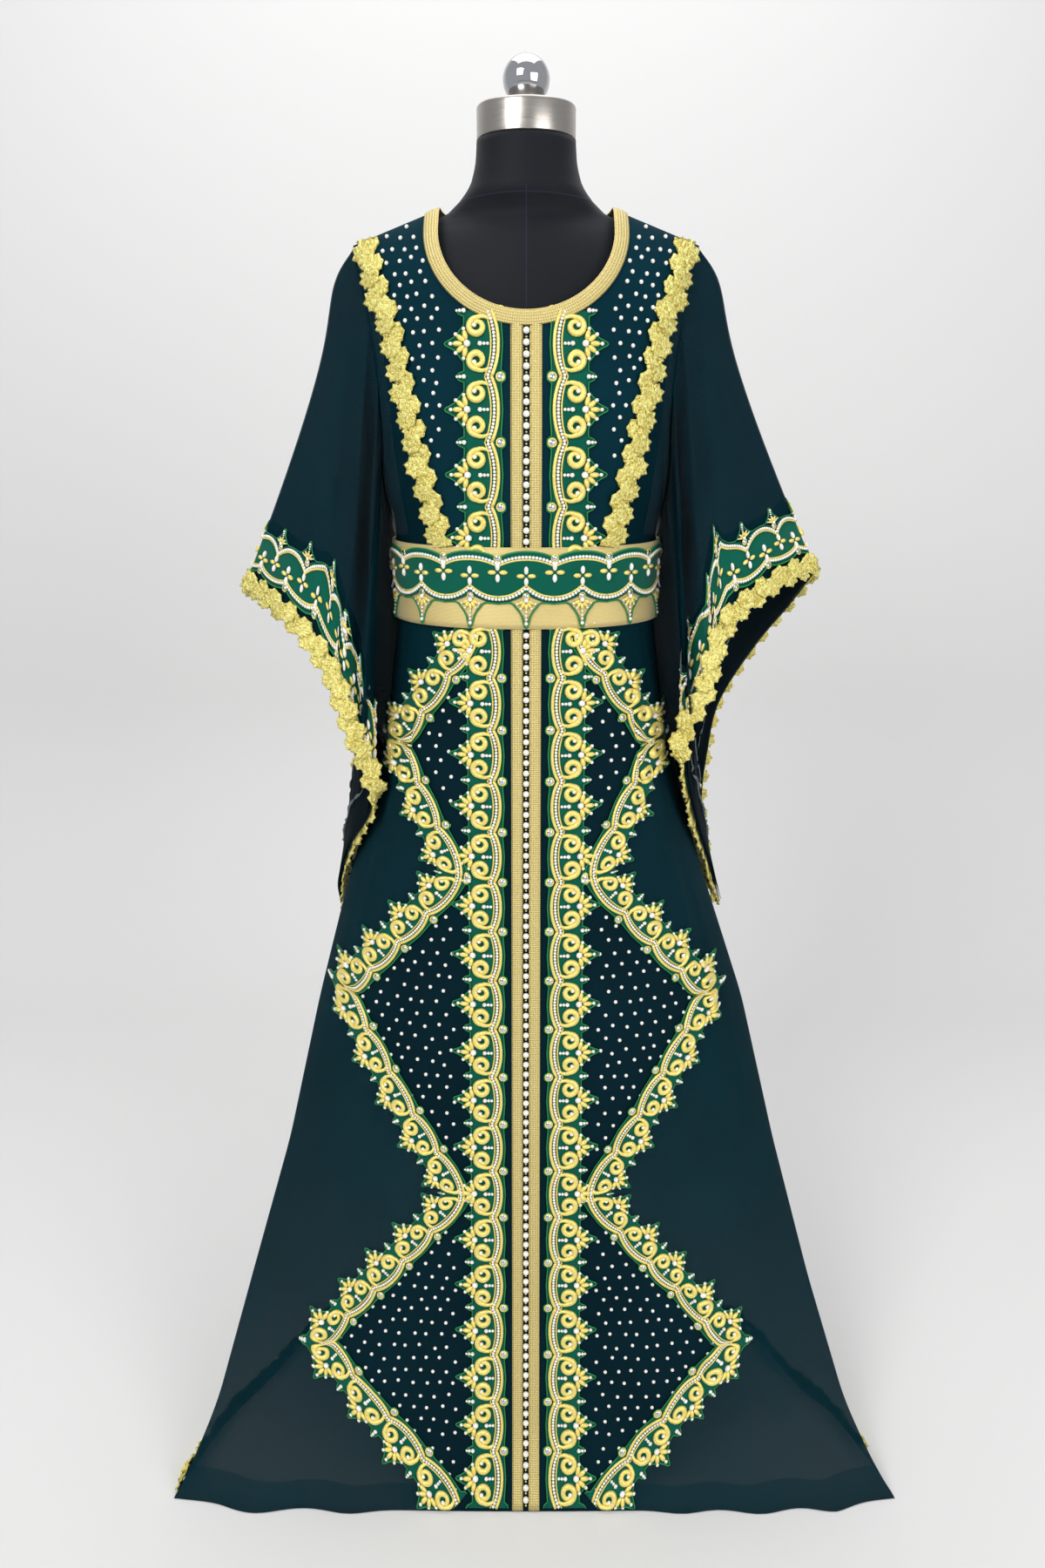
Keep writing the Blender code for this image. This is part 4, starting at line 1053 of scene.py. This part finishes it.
def make_placket():
    for where, top, low in (("bodice", NECK_Z - NECK_DROP - 0.004, WAIST_Z), ("skirt", WAIST_Z, 0.002)):
        z = np.linspace(top, low, 12 + int((top - low) / 0.008))[:, None]
        for side, near, far in (("left", BRAID_IN, PLACKET), ("right", -PLACKET, -BRAID_IN)):
            share = np.linspace(0, 1, 7)
            crown = 0.0016 + 0.0010 * (1 - np.abs(2 * share - 1) ** 3)
            points = on_front(near + (far - near) * share, z, crown)
            cloth_piece(where + "_braid_" + side + "_gold", points, FINISHES["braid"],
                        [where + "_braid_" + side], thick=BRAID)
    for where, top, low in (("bodice", NECK_Z - NECK_DROP - 0.010, BELT_TOP + 0.002),
                            ("skirt", BELT_LOW - 0.004, 0.006)):
        motif = Motif()
        motif.bead("pearl", 0.0, 0.0, 0.0036, detail=2, lift=0.8)
        motif.bead("gold", 0.5 * BEAD_PITCH, 0.0, 0.0013, detail=1)
        starts = np.arange(0.003, top - low, BEAD_PITCH)
        sew(where + "_bead", motif.parts(), starts, lambda s, t, h: on_front(t, top - s, h + 0.0004))
        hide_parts(where + "_beads")


# ---------------------------------------------------------------- skirt
def make_skirt():
    corners = ZIGZAG[1:-1, 1]
    z = np.unique(np.concatenate([np.linspace(0.0, WAIST_Z, 126), corners]))[::-1][:, None]
    inlay = on_front(np.linspace(-1, 1, 81) * zigzag_x(z), z)
    cloth_piece("skirt_inlay_cloth", inlay, FINISHES["inlay"], ["skirt_inlay"])
    for side, sign in SIDES:
        part = np.sin(np.linspace(0, math.pi / 2, 44))
        x = zigzag_x(z) + (half_width(sign, z) - zigzag_x(z)) * part
        points = on_front(sign * x, z)
        cloth_piece("skirt_side_" + side + "_cloth", points, FINISHES["skirt"],
                    ["skirt_side_" + side], sign < 0)
    turn = np.linspace(math.pi / 2, -math.pi / 2, 137)
    x = np.sin(turn) * half_width(np.sin(turn), z)
    cloth_piece("skirt_back_cloth", on_back(x, z), FINISHES["skirt"], ["skirt_back"])


def make_bands():
    """Embroidered bands beside the placket, on the bodice and the skirt."""
    for where, top, low, repeat in (("bodice", CHEST_BAND_TOP, BELT_TOP - 0.004, CHEST_REPEAT),
                                    ("skirt", BELT_LOW + 0.004, 0.004, SKIRT_REPEAT)):
        count = round((top - low) / repeat)
        step = (top - low) / count if where == "skirt" else repeat
        starts = np.arange(count) * step
        sizes = np.full(count, step / repeat)
        for side, sign in SIDES:
            def lay(s, t, h, sign=sign, top=top):
                return on_front(sign * t, np.maximum(top - s, 0.003), h + BAND_LIFT)
            band(where + "_band_" + side, repeat, starts, sizes, lay, sign < 0)


def make_zigzags():
    line = Line(ZIGZAG[1:], turn_over=21)
    starts, sizes = [], []
    for first, last, count in zip(line.corners, line.corners[1:], ZIGZAG_REPEATS):
        step = (last - first) / count
        starts += [first + step * k for k in range(count)]
        sizes += [step / SKIRT_REPEAT] * count
    for side, sign in SIDES:
        def lay(s, t, h, sign=sign):
            x, z = line.at(s, (t - BORDER_MIDDLE) * BORDER_SIZE)
            return on_front(sign * x, np.maximum(z, 0.003), h * 0.9 + 0.0022)
        band("zigzag_border_" + side, SKIRT_REPEAT, starts, sizes, lay, sign < 0)


def make_princess_trims():
    z = np.linspace(PRINCESS_TOP_Z - 0.0005, BELT_TOP - 0.002, 40)
    line = Line(np.column_stack([princess_x(z), z]), turn_over=5)
    for side, sign in SIDES:
        def lay(s, t, h, sign=sign):
            x, z = line.at(s, t)
            return on_front(sign * x, z, h + 0.0012)
        trim("princess_rosettes_" + side, line.length, 0.0, lay, ["princess_trim_" + side], sign < 0)


def make_hem_trim():
    half = float(half_width(1, HEM_TRIM_Z)) - 0.012
    x = np.sin(np.linspace(-1, 1, 201) * 1.47) * half
    path = surface(x, HEM_TRIM_Z, True)
    run = distances(path[:, :2])

    def lay(s, t, h):
        return on_back(-np.interp(s, run, x), np.maximum(HEM_TRIM_Z + t, 0.001), h + 0.001)
    trim("back_hem_rosettes", run[-1], 0.0, lay, ["back_hem_trim"], True)


def make_dots():
    """Small stones scattered evenly over the chest and inside the zigzags, clear of the trims."""
    rng = np.random.default_rng(21)
    places = []
    row = 0
    z = STONES_TOP
    while z > STONES_LOW:
        chest = z > BELT_TOP
        pitch = CHEST_STONES if chest else SKIRT_STONES
        for x in np.arange(0.078 + 0.5 * pitch * (row % 2), 0.30, pitch):
            x, height = np.array([x, z]) + rng.uniform(-STONES_ASTRAY, STONES_ASTRAY, 2)
            if chest:
                inside = x < princess_x(height) - 0.015 and height < shoulder_z(x) - 0.006
                inside &= x > (0.112 if height > NECK_Z else 0.088)
                inside &= (x / 0.113) ** 2 + ((NECK_Z - height) / 0.104) ** 2 > 1 or height > NECK_Z
            else:
                inside = x < zigzag_x(height) - 0.024 and height < BELT_LOW - 0.008 and x > 0.083
            if inside:
                places.append((x, height))
        z -= pitch * 0.88
        row += 1
    places = np.array(places)
    motif = Motif()
    bmesh.ops.create_uvsphere(motif.mesh("pearl"), u_segments=8, v_segments=5, radius=STONE,
                              matrix=Matrix.Translation((0.0, 0.0, 0.0009)))
    points, faces = motif.parts()["pearl"]
    for side, sign in SIDES:
        for where, pick in (("chest", places[:, 1] > BELT_TOP), ("skirt", places[:, 1] < BELT_TOP)):
            spots = places[pick]
            centres = on_front(sign * spots[:, 0], spots[:, 1], 0.0003)
            every = (points[None] * (1, 0.8, 1) + centres[:, None]).reshape(-1, 3)
            stacked(where + "_stones_" + side, every, copied(faces, points, len(spots)),
                    FINISHES["pearl"])


# ---------------------------------------------------------------- belt
def belt_point(turn, z):
    """Point round the waist: turn 0 is the middle front, pi the middle back."""
    x = np.sin(turn) * half_width(np.sin(turn), z)
    front, back = body_y(x, z, False), body_y(x, z, True)
    y = np.where(np.cos(turn) >= 0, front, back)
    return np.stack([x, y, np.broadcast_to(z, x.shape)], axis=-1)


def on_belt(turn, z, height):
    turn, z, height = np.broadcast_arrays(turn, z, height)
    point = belt_point(turn, z)
    ahead = belt_point(turn + 0.03, z) - belt_point(turn - 0.03, z)
    down = np.zeros_like(point)
    down[..., 2] = -1.0
    return raised(point, down, ahead, height)


def make_belt():
    turn = np.linspace(-math.pi, math.pi, 180, endpoint=False)
    share = np.linspace(0, 1, 15)[:, None]
    z = BELT_TOP + (BELT_LOW - BELT_TOP) * share
    edge = np.clip(np.minimum(share, 1 - share) * 14, 0, 1)
    height = BELT_OUT - 0.0012 * (1 - edge) ** 2 + 0.0006 * np.sin(turn * 3 + 1) * np.sin(share * 5)
    cloth_piece("belt_gold", on_belt(turn, z, height), FINISHES["belt"], ["belt"], closed=True,
                thick=BELT_THICK)
    middle = 0.5 * (BELT_TOP + BELT_LOW)
    fine = np.linspace(-math.pi / 2, math.pi / 2, 400)
    path = on_belt(fine, middle, BELT_OUT)
    run = distances(path)
    run -= run[-1] / 2

    def lay(s, t, h):
        return on_belt(np.interp(s, run, fine), BELT_TOP - t, h + BELT_OUT + 0.0006)

    starts = (np.arange(BELT_PATTERNS) - BELT_PATTERNS / 2) * BELT_REPEAT
    sew("belt_applique", garland_motif(BELT_REPEAT), starts, lay)
    ground("belt_applique", *garland_edges(BELT_REPEAT, 0.0042, 0.0585), BELT_REPEAT, starts, lay,
           ["belt_applique"], False, np.ones(BELT_PATTERNS), 0.0003)


# ---------------------------------------------------------------- sleeves
def rounded_line(points, count):
    """Smooth line through points, in count equal steps."""
    points = np.asarray(points)
    pts = np.vstack([2 * points[0] - points[1], points, 2 * points[-1] - points[-2]])
    fine = []
    for a, b, c, d in zip(pts, pts[1:], pts[2:], pts[3:]):
        for t in np.linspace(0.0, 1.0, 24, endpoint=False):
            fine.append(0.5 * (2 * b + (c - a) * t + (2 * a - 5 * b + 4 * c - d) * t * t
                               + (3 * b - a - 3 * c + d) * t ** 3))
    fine = np.array(fine + [points[-1]])
    run = distances(fine)
    steps = np.linspace(0.0, run[-1], count + 1)
    return np.column_stack([np.interp(steps, run, fine[:, k]) for k in range(3)])


class Sleeve:
    """Sleeve surface by place round it (0 to 1 from the top by the front) and share down it."""

    def __init__(self, side, sign, fine=240):
        self.sign = sign
        self.round = np.arange(fine + 1) / fine
        share = np.where(self.round <= 0.5, self.round, 1.0 - self.round) * 2
        z = shoulder_z(SHOULDER_END) + (ARMPIT_Z - shoulder_z(SHOULDER_END)) * (
            0.5 - 0.5 * np.cos(math.pi * share))
        x = armhole_x(sign, z)
        y = np.where(self.round <= 0.5, body_y(sign * x, z, False), body_y(sign * x, z, True))
        self.start = np.column_stack([x - 0.002, y, z])
        front = rounded_line(CUFF_FRONT[side], fine // 2)
        back = rounded_line(CUFF_BACK[side], fine // 2)
        self.end = np.vstack([front[:-1], back])
        self.edge_run = distances(self.end)
        self.length = np.linalg.norm(self.end - self.start, axis=1)
        ahead = np.gradient(self.end, axis=0)
        lean = np.sum(ahead * (self.start - self.end), axis=1) / self.length
        self.slant = np.sqrt(1.0 - (lean / np.linalg.norm(ahead, axis=1)) ** 2)

    def reading(self, table, place):
        return np.stack([np.interp(place % 1.0, self.round, table[:, k]) for k in range(3)], axis=-1)

    def point(self, place, share):
        start, end = self.reading(self.start, place), self.reading(self.end, place)
        share = np.asarray(share)
        point = start + (end - start) * share[..., None]
        turn = 2 * math.pi * place
        sag = np.sin(math.pi * np.clip(share, 0, 1))
        drawn_in = sag ** 1.5 * np.clip(np.cos(turn - SIDE_TURN * math.pi), 0, 1) ** 6
        point[..., 0] -= sag * ARM_SAG * np.clip(np.cos(turn), 0, 1) ** 2 + drawn_in * SIDE_SAG
        inner = np.exp(-((place % 1.0 - INNER_PLACE) / INNER_WIDTH) ** 2)
        point[..., 1] += drawn_in * SIDE_BACK - sag * INNER_BOW * inner
        head = np.clip(share, 0, 1) / HEAD_DOWN
        point[..., 0] += HEAD_OUT * (head * np.exp(1 - head)) ** 2 * np.clip(np.cos(turn), 0, 1) ** 1.5
        wave = np.cos(SLEEVE_FOLDS * 2 * math.pi * share) * np.sin(turn) * np.abs(np.sin(turn))
        point[..., 1] -= SLEEVE_FOLD_DEPTH * sag * wave * (0.4 + 0.6 * share)
        for middle, width, depth in SLEEVE_CREASES:
            away = (place % 1.0 - middle + 0.5) % 1.0 - 0.5
            fading = np.clip((FOLDS_END - share) / FOLDS_FADE, 0.12, 1.0)
            hollow = depth * fading * sag ** 0.8 * np.exp(-(away / width) ** 2)
            point[..., 1] -= hollow * np.sign(np.sin(turn))
        point[..., 0] *= self.sign
        return point

    def on(self, place, share, height):
        place, share, height = np.broadcast_arrays(place, share, height)
        down = self.point(place, share + 0.01) - self.point(place, share - 0.01)
        across = self.point(place + 0.003, share) - self.point(place - 0.003, share)
        return raised(self.point(place, share), down * self.sign, -across, height)

    def by_edge(self, s, t, h):
        """s round the open end, t up from its edge, h out."""
        s = s % self.edge_run[-1]
        place = np.interp(s, self.edge_run, self.round)
        slant = np.maximum(np.interp(place, self.round, self.slant), 0.7)
        share = 1.0 - t / np.interp(place, self.round, self.length) / slant
        return self.on(place, share, h)

    def square_to_edge(self, s, t, h):
        """As by_edge, with t square to the edge."""
        place = np.interp(s % self.edge_run[-1], self.edge_run, self.round)
        edge = self.point(place, 1.0)
        ahead = unit(self.point(place + 0.004, 1.0) - self.point(place - 0.004, 1.0))
        up = self.point(place, 0.96) - edge
        up = unit(up - np.sum(up * ahead, axis=-1, keepdims=True) * ahead)
        out = np.cross(up, ahead) * self.sign
        return edge + up * np.asarray(t)[..., None] + out * np.asarray(h)[..., None]


def make_sleeve(side, sign):
    sleeve = Sleeve(side, sign)
    place = np.arange(128) / 128
    share = np.linspace(0.0, 1.0, 76)[:, None]
    flip = sign > 0
    cloth_piece("sleeve_" + side + "_cloth", sleeve.on(place, share, 0.0), FINISHES["sheer"],
                ["sleeve_" + side], flip, closed=True)
    around = sleeve.edge_run[-1]
    count = round(around / CUFF_REPEAT)
    step = around / count
    starts = np.arange(count) * step + 0.35 * step

    def lay(s, t, h):
        t = np.minimum(t, CUFF_TIP + 0.6 * (t - CUFF_TIP))
        return sleeve.by_edge(s, CUFF_BAND_UP + t * CUFF_BAND_SIZE, h + BAND_LIFT)

    name = "cuff_band_" + side
    sew(name, garland_motif(step), starts, lay, flip)
    ground(name, *garland_edges(step, 0.0030, 0.0590), step, starts, lay, [name], flip, np.ones(count),
           -0.0004)

    rim = np.linspace(0.0, around, 200)
    points = sleeve.by_edge(rim, np.linspace(0.080, 0.002, 9)[:, None], -0.0026)
    cloth_piece("cuff_facing_" + side, points, FINISHES["facing"], (), flip, thick=LINING)
    motif = Motif()
    shares = np.linspace(0, 1, 9)
    bow = 0.0050 * np.abs(2 * shares - 1) ** 2 + 0.0012 * np.cos(3 * np.pi * shares)
    motif.cord("reverse", np.column_stack([shares * step, 0.0340 + bow]), (0.0010, 0.0022, 0.0012) * 3, 4)
    motif.cord("reverse", np.column_stack([shares * step, 0.0700 + bow]), 0.0010, 4)
    sew("cuff_reverse_" + side, motif.parts(), starts,
        lambda s, t, h: sleeve.by_edge(s, t, -0.0036 - h), not flip)

    def edge_lay(s, t, h):
        return sleeve.square_to_edge(s, t, h + 0.0012)
    trim("cuff_rosettes_" + side, around, 0.5 * ROSETTE_WIDTH - 0.004, edge_lay, ["cuff_trim_" + side],
         flip)


# ---------------------------------------------------------------- studio
def make_studio():
    floor_finish = Finish("studio_floor", "studio", Base_Color=(0.72, 0.71, 0.70, 1.0), Roughness=0.75)
    floor_finish.rough(0.7 + floor_finish.noise(3.0) * 0.1)
    clear_behind = floor_finish.add("ShaderNodeMixShader", {}, {
        0: floor_finish.add("ShaderNodeNewGeometry", out="Backfacing"),
        1: Value(floor_finish, floor_finish.shader.outputs[0]),
        2: floor_finish.add("ShaderNodeBsdfTransparent")})
    floor_finish.feed(floor_finish.tree.nodes["Material Output"].inputs["Surface"], clear_behind)
    bm = bmesh.new()
    bmesh.ops.create_grid(bm, x_segments=1, y_segments=1, size=4.0)
    edge = [edge for edge in bm.edges if all(vert.co.y > 3.9 for vert in edge.verts)]
    made = bmesh.ops.extrude_edge_only(bm, edges=edge)["geom"]
    bmesh.ops.translate(bm, vec=(0.0, 0.0, 4.5), verts=[part for part in made
                                                       if isinstance(part, bmesh.types.BMVert)])
    bmesh.ops.translate(bm, vec=(0.0, -2.4, 0.0), verts=bm.verts)
    crease = [edge for edge in bm.edges if len(edge.link_faces) == 2]
    bmesh.ops.bevel(bm, geom=crease, offset=0.6, offset_type="OFFSET", segments=12, profile=0.5,
                    affect="EDGES", material=-1)
    bmesh.ops.recalc_face_normals(bm, faces=bm.faces)
    if max(bm.faces, key=lambda face: face.calc_area()).normal.z < 0:
        bmesh.ops.reverse_faces(bm, faces=bm.faces)
    floor = new_piece("studio_sweep", bm)
    floor.data.materials.append(floor_finish.material)
    world = bpy.data.worlds.new("studio")
    bpy.context.scene.world = world
    world.use_nodes = True
    sky = world.node_tree.nodes["Background"]
    sky.inputs["Color"].default_value = (0.92, 0.96, 1.0, 1.0)
    sky.inputs["Strength"].default_value = 0.50
    for name, place, aim, size, power in LIGHTS:
        light = bpy.data.lights.new(name, "AREA")
        light.energy, light.size = power, size
        lamp = bpy.data.objects.new(name, light)
        bpy.context.scene.collection.objects.link(lamp)
        lamp.location = place
        ahead = np.array(aim) - np.array(place)
        lamp.rotation_euler = (math.acos(-ahead[2] / np.linalg.norm(ahead)), 0.0,
                               math.atan2(ahead[1], ahead[0]) - math.pi / 2)
    camera = bpy.data.objects.new("camera", bpy.data.cameras.new("camera"))
    camera.data.lens = CAMERA_LENS
    camera.location = CAMERA_PLACE
    camera.rotation_euler = (math.radians(CAMERA_TILT), 0.0, 0.0)
    bpy.context.scene.collection.objects.link(camera)
    bpy.context.scene.camera = camera
    bpy.context.scene.view_settings.view_transform = "Standard"


FINISHES = make_finishes()
ROSETTE = rosette()
make_form()
make_stand()
make_bodice()
make_placket()
make_skirt()
make_bands()
make_zigzags()
make_princess_trims()
make_hem_trim()
make_dots()
make_belt()
make_sleeve("left", 1)
make_sleeve("right", -1)
make_studio()
